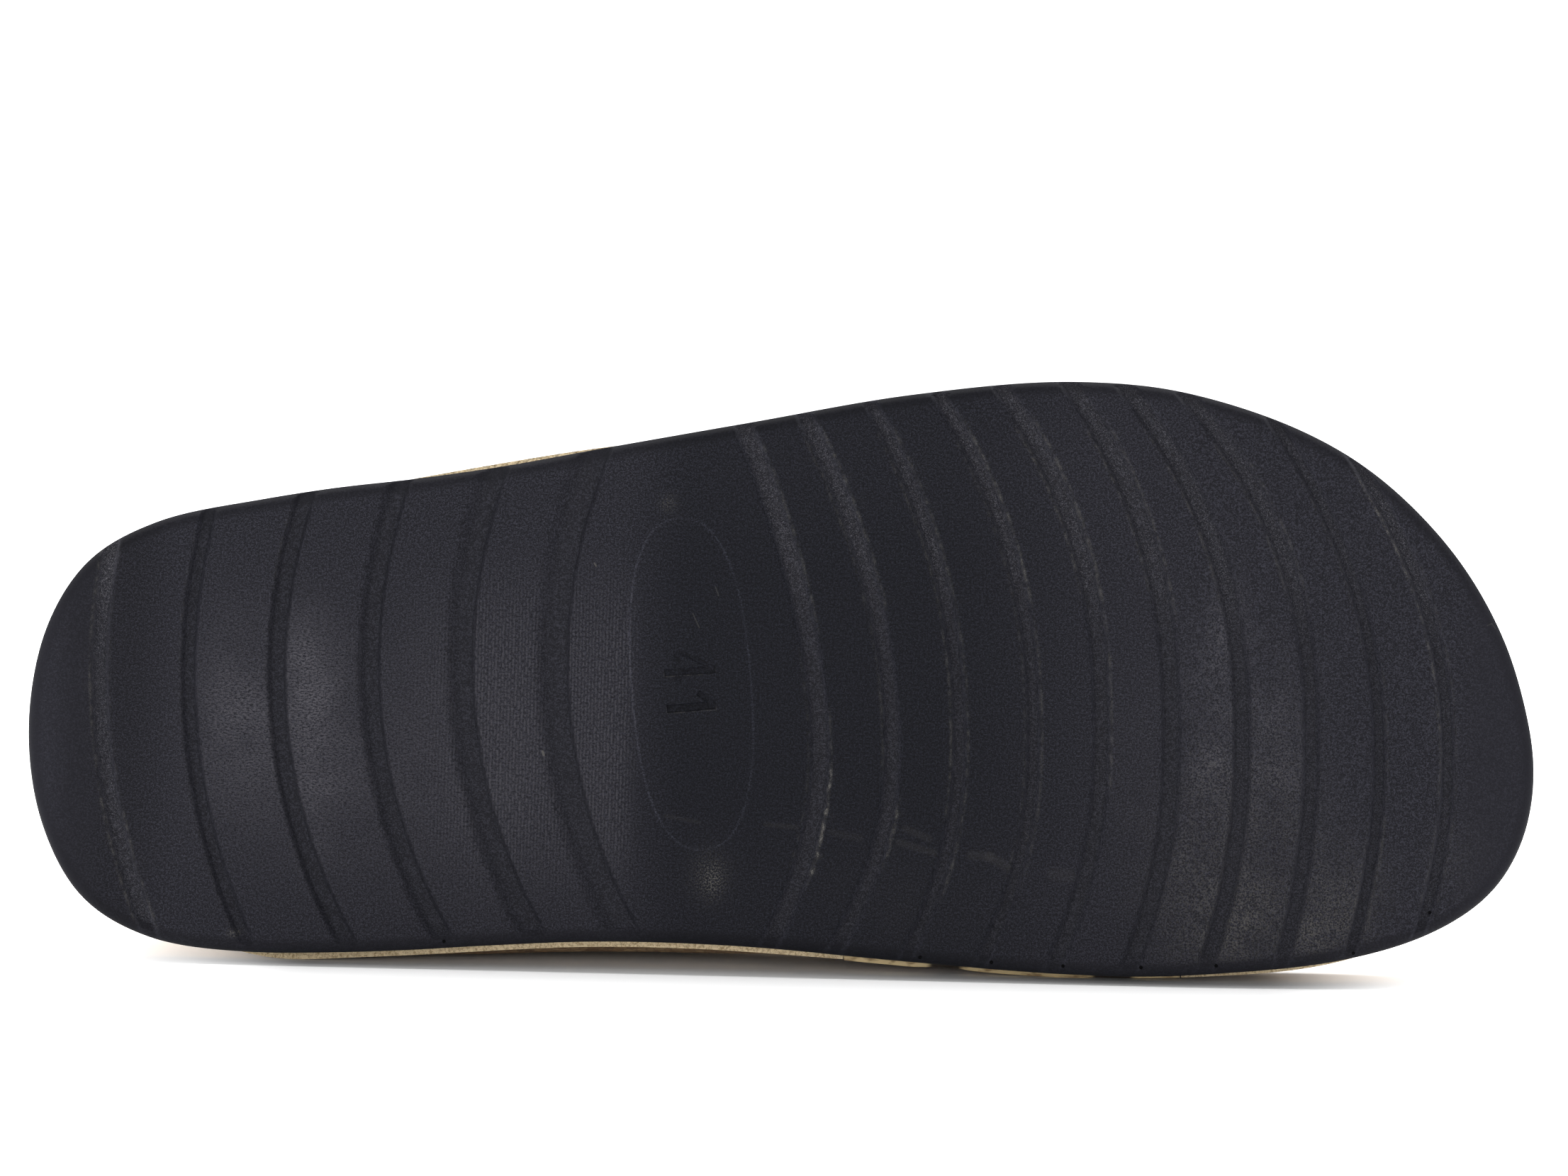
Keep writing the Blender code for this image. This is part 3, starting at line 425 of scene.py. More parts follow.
def cork_finish(look):
    """Pressed cork granules under a thin sealer, with dark bark specks."""
    material, wire, shader = new_finish("pressed_cork")
    place = wire.shoe_place()
    along, across, up = place.parts()
    spring = ((along - SPRING_START) / (SOLE_LENGTH - SPRING_START)).most(0.0)
    under = (up - TOE_SPRING * spring * spring).step(*CORK_UNDERSIDE)
    warped = place.moved(place.noise(0.6, 2.0, output="Color").scaled((1.6, 1.6, 1.6)))
    size = 1.0 / (look.granule * PER_METRE)
    tone = warped.cells(size, output="Color").parts()[0]
    gap = warped.cells(size, feature="DISTANCE_TO_EDGE")
    fine = place.noise(1.8, 4.0, 0.65)
    stops = ((0.0, look.cork_dark), (0.14, look.cork_mid), (0.6, look.cork_light), (1.0, look.cork_pale))
    color = tone.make("ShaderNodeValToRGB", {"stops": stops}, {0: tone})
    color = (gap.step(0.11, 0.0) * 0.75).tint(color, look.cork_gap)
    bark = place.cells(size * 0.55, output="Color").parts()[1].step(0.9, 0.97)
    color = (bark * 0.8 * fine.step(0.35, 0.6)).tint(color, look.cork_bark)
    color = (fine.step(0.5, 0.8) * 0.25).tint(color, look.cork_pale)
    # The cut underside is paler cork, and its colour is raised further as painted light, for the light it
    # lacks near the floor.
    cut_face_and_painted_light = place.noise(2.2, 4.0, 0.7).step(0.34, 0.58).tint(look.cork_pale, look.cork_cut_and_painted_light)
    color = under.tint(color, cut_face_and_painted_light)
    # Painted shade: streaky brown low on the arch's wall, where it faces the floor.
    streak = place.scaled((0.35, 1.0, 3.0)).noise(1.0, 3.0, 0.7).step(0.3, 0.55)
    low_arch = across.step(*ARCH_SHADE_ACROSS) * up.step(*ARCH_SHADE_UP) * along.within(ARCH_SHADE_ALONG)
    color = (streak * (1 - under) * low_arch * 0.6).tint(color, look.cork_arch_shade)
    height = gap.step(0.0, 0.22) + fine * 0.5
    feed(
        wire, shader,
        Base_Color=color,
        Roughness=0.7 + 0.2 * fine,
        Normal=height.bump(0.25 * MM, 0.7),
        Specular_IOR_Level=0.3,
    )
    return material


def suede_finish(look):
    """Brushed suede: a short nap that lies in light and dark strokes."""
    material, wire, shader = new_finish("brushed_suede")
    place = wire.shoe_place()
    nap = place.noise(6.0, 3.0, 0.7)
    stroke = place.scaled((0.5, 1.0, 1.0)).noise(0.3, 5.0, 0.7)
    fibre = place.scaled((0.5, 1.6, 1.0)).noise(3.0, 2.0, 0.6)
    swathe = place.scaled((0.5, 1.0, 1.0)).noise(0.05, 3.0, 0.55).step(0.38, 0.62)
    color = (stroke.step(0.34, 0.66) * 0.6 + swathe * 0.4).tint(look.suede_dark, look.suede_color)
    color = (nap.step(0.42, 0.7) * 0.55).tint(color, look.suede_light)
    height = nap * 0.6 + fibre * 0.6
    feed(
        wire, shader,
        Base_Color=color,
        Roughness=0.88 + 0.1 * nap,
        Normal=height.bump(0.15 * MM, 0.6),
        Specular_IOR_Level=0.2,
        Sheen_Weight=0.35,
        Sheen_Roughness=0.4,
        Sheen_Tint=look.suede_light,
    )
    return material


# Stretches of the strap's inner foot painted almost black as painted shade, and how high the strap starts to
# crease.
SHADED_FOOT_GAPS = (Stretch(165.0, 166.5, 171.0, 172.5), Stretch(195.0, 196.5, 202.5, 204.0))
CREASED_UP = (30.0, 46.0)


def leather_finish(look):
    """Oiled leather with a fine pebble grain and creases outside, and a rough pale flesh side inside."""
    material, wire, shader = new_finish("oiled_leather")
    place = wire.shoe_place()
    along, across, up = place.parts()
    inside, edge, foot = (wire.attribute(name) for name in STRAP_VALUES)
    pebble = place.cells(1.0 / (look.pebble * PER_METRE), feature="SMOOTH_F1")
    pore = place.noise(2.2, 4.0, 0.65)
    cloud = place.noise(0.05, 4.0, 0.6)
    rough = place.noise(3.2, 4.0, 0.7)
    wrinkle = place.scaled((0.12, 0.6, 0.6)).noise(1.0, 3.0, 0.6)
    crease = abs(wrinkle - 0.5).step(0.04, 0.0) * (1 - inside) * up.step(*CREASED_UP)
    color = cloud.step(0.32, 0.68).tint(look.leather_dark, look.leather_color)
    color = (pore.step(0.5, 0.8) * 0.4).tint(color, look.leather_light)
    # Painted shade darkens the creases.
    color = (crease * 0.4).tint(color, look.leather_edge)
    color = (edge * 0.8).tint(color, look.leather_edge)
    color = inside.tint(color, rough.step(0.3, 0.7).tint(look.flesh_dark, look.flesh_color))

    # Painted shade: the foot is painted almost black along these stretches.
    painted_shade_gaps = sum(along.within(gap) for gap in SHADED_FOOT_GAPS)
    lump = place.scaled((0.36, 0.8, 0.8)).noise(1.0, 2.0).step(0.3, 0.52)
    pressed = (lump * 0.75 + 0.25).tint(look.leather_dark, look.foot_color)
    pressed = (painted_shade_gaps * across.step(0.0, 1.0)).held().tint(pressed, look.foot_shade_color)
    color = foot.tint(color, pressed)
    height = (1 - inside) * (pebble * 0.8 + pore * 0.3) + inside * rough * 1.2 - crease * 0.5
    feed(
        wire, shader,
        Base_Color=color,
        Roughness=0.5 + 0.18 * pore + 0.25 * inside,
        Normal=height.bump(0.14 * MM, 0.6),
        Specular_IOR_Level=0.4,
    )
    return material


def brass_finish(look):
    """Aged brass: satin, rubbed bright in places, browner in others, with fine scratches."""
    material, wire, shader = new_finish("aged_brass")
    place = wire.shoe_place()
    cloud = place.noise(0.25, 4.0, 0.6)
    fine = place.scaled((0.4, 4.0, 4.0)).noise(2.0, 3.0, 0.6)
    color = cloud.step(0.35, 0.7).tint(look.brass_dark, look.brass_color)
    color = (fine.step(0.5, 0.75) * 0.35).tint(color, look.brass_light)
    feed(
        wire, shader,
        Base_Color=color,
        Roughness=0.24 + 0.2 * cloud + 0.08 * fine,
        Normal=(fine * 0.5 + cloud).bump(0.04 * MM, 0.4),
        Metallic=1.0,
    )
    return material


def floor_finish(look):
    """A plain pale floor with a painted glow, which washes out cast shadows everywhere but close to the
    sandal.
    """
    material, wire, shader = new_finish("studio_floor")
    place = wire.make("ShaderNodeTexCoord", output="Object")
    past_heel, past_toe = look.glow_ends
    along, behind, _ = place.parts()
    # The painted glow is off close to the sandal and on everywhere else.
    near = along.step(past_heel - look.glow_fade, past_heel + look.glow_fade)
    near = near * along.step(past_toe + look.glow_fade, past_toe - look.glow_fade)
    near = near * behind.step(2 * look.glow_behind, look.glow_behind)
    feed(
        wire, shader,
        Base_Color=place.noise(3.0, 2.0).step(0.2, 0.8).tint(look.floor_color, look.floor_color_far),
        Roughness=0.9,
        Specular_IOR_Level=0.1,
        Emission_Color=near.tint(look.glow_color, (0, 0, 0)),
        Emission_Strength=1.0,
    )
    return material


# Two triangles are joined where they bend and skew less than this.
QUAD_BEND = math.radians(25)
QUAD_SKEW = math.radians(60)
SMOOTH_LEVELS = 2


def pick(piece):
    """Makes one object the only selected and the active one."""
    bpy.ops.object.select_all(action="DESELECT")
    piece.select_set(True)
    bpy.context.view_layer.objects.active = piece


def open_mesh(piece, kind):
    """Starts editing an object's mesh with nothing selected."""
    pick(piece)
    bpy.ops.object.mode_set(mode="EDIT")
    bpy.ops.mesh.select_mode(type=kind)
    bpy.ops.mesh.select_all(action="DESELECT")


def close_mesh():
    bpy.ops.object.mode_set(mode="OBJECT")


def move_points(piece, change):
    """Moves each point of a mesh to where a function of its place in the shoe's own millimetres puts it."""
    open_mesh(piece, "VERT")
    mesh = bmesh.from_edit_mesh(piece.data)
    for vert in mesh.verts:
        vert.co = shoe_point(*change(in_shoe(vert.co)))
    bmesh.update_edit_mesh(piece.data)
    close_mesh()


def merged_copy(node, name):
    """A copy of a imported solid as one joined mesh."""
    piece = bpy.data.objects.new(name, frame["nodes"][node].data.copy())
    piece.data.name = name
    bpy.context.scene.collection.objects.link(piece)
    pick(piece)
    bpy.ops.mesh.customdata_custom_splitnormals_clear()
    open_mesh(piece, "VERT")
    bpy.ops.mesh.select_all(action="SELECT")
    bpy.ops.mesh.remove_doubles(threshold=MERGE)
    close_mesh()
    return piece


def apply_modifier(piece, kind, **settings):
    """Adds a modifier to an object and applies it."""
    pick(piece)
    modifier = piece.modifiers.new(kind.lower(), kind)
    for name, value in settings.items():
        setattr(modifier, name, value)
    bpy.ops.object.modifier_apply(modifier=modifier.name)


def rounded(piece, sharp, crease):
    """Makes the faces of a merged copy four-sided and smooths them, with its sharp edges creased."""
    open_mesh(piece, "EDGE")
    bpy.ops.mesh.select_all(action="SELECT")
    bpy.ops.mesh.tris_convert_to_quads(face_threshold=QUAD_BEND, shape_threshold=QUAD_SKEW)
    bpy.ops.mesh.select_all(action="DESELECT")
    mesh = bmesh.from_edit_mesh(piece.data)
    for edge in mesh.edges:
        edge.select_set(abs(edge.calc_face_angle(0.0)) > sharp)
    bmesh.update_edit_mesh(piece.data)
    bpy.ops.transform.edge_crease(value=crease)
    close_mesh()
    apply_modifier(piece, "SUBSURF", levels=SMOOTH_LEVELS, render_levels=SMOOTH_LEVELS)


def point_values(piece, name, values):
    """Keeps one value for each point of a mesh, for its finish to read."""
    layer = piece.data.attributes.new(name, "FLOAT", "POINT")
    layer.data.foreach_set("value", values)


def finished(piece, material, node, smooth=math.radians(40)):
    """Shades a piece, gives it its finish and lets it stand for a node of the sandal."""
    pick(piece)
    bpy.ops.object.shade_smooth_by_angle(angle=smooth)
    piece.data.materials.clear()
    piece.data.materials.append(material)
    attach(piece, "root")
    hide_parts(node)


def color_setting(name, description, color):
    """A colour that a user may change."""
    return FloatVectorProperty(name=name, description=description, default=color, subtype="COLOR")


def length_setting(name, description, metres):
    """A length that a user may change."""
    return FloatProperty(name=name, description=description, default=metres, unit="LENGTH", precision=5)


def power_setting(name, description, watts):
    """The power of a light, which a user may change."""
    return FloatProperty(name=name, description=description, default=watts, unit="POWER")


def angle_setting(name, description, degrees):
    """An angle that a user may change."""
    return FloatProperty(name=name, description=description, default=math.radians(degrees), subtype="ANGLE")


def strength_setting(name, description, strength):
    """A strength that a user may change."""
    return FloatProperty(name=name, description=description, default=strength, min=0)


class SandalSole(bpy.types.PropertyGroup):
    oval_half_length: length_setting("Oval half length", "Half of the size oval across the shoe", 30.3 * MM)
    oval_half_width: length_setting("Oval half width", "Half of the size oval along the shoe", 10.9 * MM)
    number_depth: length_setting("Number depth", "How deep the number is pressed in", 0.38 * MM)
    foam_gloss: strength_setting("Foam gloss", "Strength of the foam's sheen", 0.06)
    foam_color: color_setting("Foam", "Colour of the foam at the arch", (0.0080, 0.0084, 0.0114))
    foam_pale_color: color_setting("Pale foam", "Its colour at heel and toe", (0.0147, 0.0147, 0.0193))
    groove_color: color_setting("Groove", "Its colour in the grooves", (0.0164, 0.0165, 0.0210))
    groove_grain_color: color_setting("Groove grain", "Pale grain in the grooves", (0.085, 0.083, 0.093))
    heel_dust_color: color_setting("Heel dust", "Dust trodden into the heel", (0.081, 0.078, 0.089))
    # Also the colour of the painted sheen at the toe's inner corner.
    fore_dust_and_sheen_color: color_setting("Fore dust", "Browner dust at the inner forefoot", (0.084, 0.080, 0.075))
    # Also the colour of the painted highlight along the number's strokes.
    rim_color: color_setting("Rim", "Rubbed edges of the grooves", (0.110, 0.105, 0.098))
    dust_color: color_setting("Dust", "Loose pale dust", (0.19, 0.18, 0.16))


class SandalFootbed(bpy.types.PropertyGroup):
    granule: length_setting("Granule", "Size of a cork granule", 1.9 * MM)
    arch_swell: length_setting("Arch swell", "How far the arch's wall swells", 0.4 * MM)
    cork_dark: color_setting("Cork dark", "Darkest granules", (0.13, 0.072, 0.032))
    cork_mid: color_setting("Cork mid", "Common granules", (0.27, 0.165, 0.075))
    cork_light: color_setting("Cork light", "Light granules", (0.36, 0.24, 0.115))
    cork_pale: color_setting("Cork pale", "Palest granules", (0.46, 0.33, 0.175))
    # Paler cut cork, raised further as painted light.
    cork_cut_and_painted_light: color_setting("Cork cut", "Cut face underneath", (0.86, 0.70, 0.45))
    cork_gap: color_setting("Cork gap", "Binder between granules", (0.10, 0.055, 0.024))
    # Painted shade low on the arch's wall.
    cork_arch_shade: color_setting("Burnish", "Rubbed low at the arch", (0.16, 0.095, 0.055))
    cork_bark: color_setting("Bark", "Specks of bark", (0.045, 0.025, 0.013))


class SandalLining(bpy.types.PropertyGroup):
    suede_color: color_setting("Suede", "Colour of the nap", (0.40, 0.275, 0.15))
    suede_dark: color_setting("Suede dark", "Nap brushed away", (0.27, 0.18, 0.094))
    suede_light: color_setting("Suede light", "Tips of the nap", (0.49, 0.355, 0.21))


class SandalStrap(bpy.types.PropertyGroup):
    foot_swell: length_setting("Foot swell", "How far the strap's foot is pressed out", 0.45 * MM)
    foot_color: color_setting("Foot", "Cut end under the sole", (0.74, 0.58, 0.32))
    # Painted shade along stretches of the foot.
    foot_shade_color: color_setting("Foot gap", "Glue gaps of the foot", (0.03, 0.022, 0.016))
    pebble: length_setting("Pebble", "Size of the leather's grain", 0.9 * MM)
    leather_color: color_setting("Leather", "Colour of the strap", (0.285, 0.16, 0.068))
    leather_dark: color_setting("Leather dark", "Oiled places", (0.215, 0.115, 0.047))
    leather_light: color_setting("Leather light", "Dry pores", (0.37, 0.235, 0.115))
    leather_edge: color_setting("Leather edge", "Cut edge", (0.23, 0.14, 0.064))
    flesh_color: color_setting("Flesh side", "Inside of the strap", (0.38, 0.265, 0.15))
    flesh_dark: color_setting("Flesh dark", "Rough spots inside", (0.30, 0.205, 0.112))


class SandalBuckle(bpy.types.PropertyGroup):
    brass_color: color_setting("Brass", "Colour of the metal", (0.56, 0.42, 0.21))
    brass_dark: color_setting("Brass dark", "Tarnished places", (0.34, 0.23, 0.10))
    brass_light: color_setting("Brass light", "Rubbed places", (0.72, 0.58, 0.34))


class SandalStage(bpy.types.PropertyGroup):
    floor_size: length_setting("Floor size", "Side of the floor", 200.0)
    floor_color: color_setting("Floor", "Colour of the floor", (0.93, 0.93, 0.93))
    floor_color_far: color_setting("Floor far", "Its second tone", (0.96, 0.96, 0.96))
    # Colour of the floor's painted glow.
    glow_color: color_setting("Glow", "Light through the floor", (0.62, 0.62, 0.62))
    glow_ends: FloatVectorProperty(
        name="Glow ends",
        description="Where the glow starts at heel and toe",
        default=(-0.100, 0.103),
        size=2,
        unit="LENGTH",
    )
    glow_behind: length_setting("Glow behind", "Where it starts behind", 0.3)
    glow_fade: length_setting("Glow fade", "Soft edge of the glow", 0.016)
    sky: strength_setting("Sky", "Strength of the even white light", 0.50)
    top_power: power_setting("Top light", "Power of the long light from above", 78.0)
    top_length: length_setting("Top length", "Length of the light from above", 5.0)
    top_width: length_setting("Top width", "Width of the light from above", 1.2)
    fill_power: power_setting("Fill light", "Power of the soft light in front", 8.0)
    fill_size: length_setting("Fill size", "Side of the soft light in front", 1.2)
    low_power: power_setting("Low light", "Power of the low light in front", 9.0)
    low_size: length_setting("Low size", "Side of the low light in front", 0.7)
    distance: length_setting("Camera distance", "From the tread to the lens", 1.4)
    frame_width: length_setting("Frame width", "Width seen at the tread", 0.2862)
    dip: angle_setting("Camera dip", "How far the view drops below square on", 2.0)
    roll: angle_setting("Camera roll", "Turn of the camera about its view", 1.373)
    aim_along: length_setting("Aim along", "Point in view, from the heel", 137.5 * MM)
    aim_across: length_setting("Aim across", "Point in view, to the inner side", -29.1 * MM)


# The sole's edge, and the steps of the lines and points that the tread's mesh follows, in millimetres.
OUTSOLE_THICKNESS = 9.5
TOP_TOLERANCE = 0.02
HEEL_BEVEL = 1.6
HEEL_BEVEL_LENGTH = 13.0
EDGE_INSET = 1.7
EDGE_RISE = 2.2
EDGE_LINES = (0.0, 0.03, 0.12, 0.28, 0.5, 0.8, 1.2, 1.65, 2.1, 2.8)
CLEAN_EDGE = 2.8
CLEAN_EDGE_FADE = 1.2
OUTLINE_STEP = 1.3
COURSE_STEP = 1.3
COURSE_ACROSS = (-72.0, 44.0)
LAND_STEP = 2.2
LAND_ROW_STEP = LAND_STEP * 0.87
LAND_ACROSS = (-70.0, 42.0)
# How far a land's points keep clear of a groove's side, a stroke, the oval, the outline and a pin hole.
CLEAR_OF_GROOVE = 1.0
CLEAR_OF_STROKE = 0.6
CLEAR_OF_OVAL = 1.2
CLEAR_OF_EDGE = 3.8
CLEAR_OF_HOLE = 1.2
# The tread's triangles fill the outline, and points closer than this are one.
FACES_INSIDE = 1
SAME_POINT = 0.001

# The grooves. A row ends with the soft width of its sides, how pale its floor is and how much painted light
# its sides get.
HeelGroove = namedtuple("HeelGroove", "apex apex_across radius width heelward toeward pale lift")
HEEL_GROOVES = (
    HeelGroove(13.0, -14, 128, 3.4, 0.7, 0.8, 0.60, 0.60),
    HeelGroove(29.2, -14, 118, 3.1, 0.8, 0.7, 0.0, 0.20),
    HeelGroove(45.3, -14, 101, 3.8, 0.9, 0.7, 0.0, 0.0),
    HeelGroove(62.1, -16, 101, 4.4, 1.5, 0.7, 0.0, 0.0),
    HeelGroove(78.7, -16.7, 101, 5.4, 2.1, 0.7, 0.0, 0.0),
    HeelGroove(95.5, -17, 101, 6.4, 2.3, 0.7, 0.0, 0.0),
)
FORE_GROOVE_APEX = 2.0
LATERAL_SWEEP_AT = 42.0
MEDIAL_SWEEP_AT = 35.0
ForeGroove = namedtuple(
    "ForeGroove", "apex lateral_sweep lateral_power medial_sweep width heelward toeward pale lift"
)
FORE_GROOVES = (
    ForeGroove(144.8, 8.1, 1.75, 9.0, 4.0, 0.9, 0.9, 0.20, 0.55),
    ForeGroove(158.0, 8.0, 1.95, 9.8, 3.5, 0.9, 0.9, 0.19, 0.55),
    ForeGroove(170.2, 6.7, 2.2, 8.5, 3.0, 0.8, 0.8, 0.17, 0.55),
    ForeGroove(183.7, 6.1, 2.4, 8.0, 3.0, 0.8, 0.8, 0.19, 0.50),
    ForeGroove(196.1, 5.5, 2.6, 7.1, 3.6, 0.8, 0.8, 0.19, 0.42),
    ForeGroove(208.9, 5.5, 2.55, 6.2, 3.9, 0.8, 0.8, 0.17, 0.30),
    ForeGroove(221.8, 6.3, 2.55, 5.4, 3.7, 0.8, 0.8, 0.18, 0.25),
    ForeGroove(234.5, 6.9, 2.6, 4.6, 3.4, 0.8, 0.8, 0.18, 0.35),
    ForeGroove(247.1, 8.3, 2.2, 5.3, 2.8, 0.7, 0.7, 0.12, 0.50),
    ForeGroove(259.8, 9.3, 2.2, 6.8, 2.9, 0.7, 0.7, 0.22, 0.65),
)
Groove = namedtuple("Groove", "course width heelward toeward pale lift")
# The lines along a groove's side, as shares of its soft width.
SIDE_SHARES = (-0.25, 0.0, 0.2, 0.4, 0.6, 0.8, 1.0, 1.2)
# At the inner edge the grooves run out, between these distances from the outline.
GROOVE_END = (1.0, 3.4)
# The floors get paler to the outer side.
OUTER_PALE = 2.5
OUTER_PALE_FROM = -18.0
OUTER_PALE_FADE = 20.0
# Lips that are rubbed pale: the groove's number, its side to the heel or to the toe, and from where to where.
LIP_REACH = 0.5
RUB_FADE = 4.0
RubbedLip = namedtuple("RubbedLip", "groove side start end share")
RUBBED_LIPS = [RubbedLip(*row) for row in (
    (0, -1, -36, 10, 0.50), (0, -1, 8, 40, 0.60), (0, 1, 12, 40, 0.50), (0, 1, -36, 14, 0.12),
    (1, -1, -38, 4, 0.18), (1, -1, 4, 38, 0.12), (2, -1, -46, -25, 0.15),
    (6, 1, -58, -20, 0.40), (6, 1, 2, 26, 1.90), (6, 1, -8, 4, 0.40), (6, -1, -20, 24, 0.20),
    (7, 1, -60, -24, 0.60), (7, -1, -60, -18, 0.40), (7, -1, -20, 6, 0.35), (7, 1, 8, 22, 1.00),
    (8, 1, -60, -22, 0.55), (8, -1, -60, -22, 0.35), (8, -1, -24, 14, 0.55), (8, 1, -24, 28, 0.50),
    (9, 1, -62, -26, 0.70), (9, -1, -60, 24, 0.25), (9, 1, -26, 26, 0.35),
    (10, -1, -62, -28, 0.60), (10, 1, -62, -26, 0.75), (10, 1, -28, 8, 0.45),
    (11, -1, -62, -28, 0.40), (11, 1, -62, -24, 0.50), (12, -1, -62, -26, 0.45),
    (13, -1, -60, -24, 0.35), (13, 1, -60, -26, 0.30),
    (14, -1, -56, -18, 0.20), (14, 1, -18, 10, 0.25), (14, -1, 10, 32, 0.25), (14, 1, 8, 32, 0.35),
    (15, -1, -54, -30, 1.20), (15, -1, -32, 8, 0.65), (15, 1, -40, 8, 0.18), (15, -1, 8, 28, 0.25),
    (15, 1, 8, 28, 0.20),
)]

# Small smooth unevenness: how fast it changes with the place, its layer in the noise, and its size.
Ripple = namedtuple("Ripple", "pitch layer size")
GROOVE_RIPPLES = (Ripple(0.6, 0.0, 0.09), Ripple(1.7, 3.0, 0.05))
LAND_RIPPLE = Ripple(0.09, 7.0, 0.06)
OVAL_RIPPLE = Ripple(0.4, 5.0, 0.6)

# Pin holes along the inner edge, as places along and across.
PIN_HOLES = (
    (77.1, 36.8), (163.9, 37.6), (176.9, 38.2), (190.0, 38.6),
    (204.2, 38.5), (217.9, 37.9), (243.0, 35.0), (257.0, 27.3),
)
PIN_HOLE_RADIUS = 0.36
PIN_HOLE_DEPTH = 0.6
PIN_HOLE_SIDES = 10
# How much of the radius is deep, how much the foot of the wall has, and how much painted shade darkens the
# hole.
PIN_HOLE_DEEP = 0.9
PIN_HOLE_FOOT = 0.85
PIN_HOLE_PAINTED_SHADE = 0.85

# The size number, drawn as straight strokes that read to the inner side.
# A stroke's lip is the strength of a painted highlight along its lower side.
Stroke = namedtuple("Stroke", "along across to_along to_across half_width share lip")
NUMBER_STROKES = (
    Stroke(116.1, -13.1, 125.3, -13.9, 0.62, 0.65, 0.55),
    Stroke(118.1, -17.4, 118.7, -11.4, 0.46, 0.35, 0.0),
    Stroke(118.2, -17.3, 124.9, -14.3, 0.46, 0.4, 0.0),
    Stroke(116.7, -6.5, 125.5, -7.4, 0.70, 0.9, 0.70),
    Stroke(122.3, -9.6, 125.2, -7.7, 0.46, 0.6, 0.0),
)
# How much painted shade darkens a stroke, how wide its painted highlight and its slope are, and the steps of
# its outline.
STROKE_PAINTED_SHADE = 0.3
STROKE_HIGHLIGHT_WIDTH = 0.3
STROKE_EDGE = 0.16
STROKE_STEP = 0.8

# The raised oval around the number. Its bead is given as distances from its line and the heights there.
OVAL_MIDDLE = (121.0, -11.2)
OVAL_TILT = math.radians(5.66)
OVAL_SQUARENESS = 2.4
OVAL_POINTS = 110
OVAL_BEAD = ((-0.55, 0.0), (-0.28, 0.08), (-0.1, 0.17), (0.1, 0.17), (0.28, 0.08), (0.55, 0.0))
# How wide and how pale the rubbed line along the bead is, and how much of it is worn everywhere.
OVAL_LINE = 0.28
OVAL_PALE = 1.25
OVAL_WORN = 0.75


def ripple(row, place):
    """A smooth unevenness at a place."""
    return noise.noise(Vector((place.x * row.pitch, place.y * row.pitch, row.layer))) * row.size


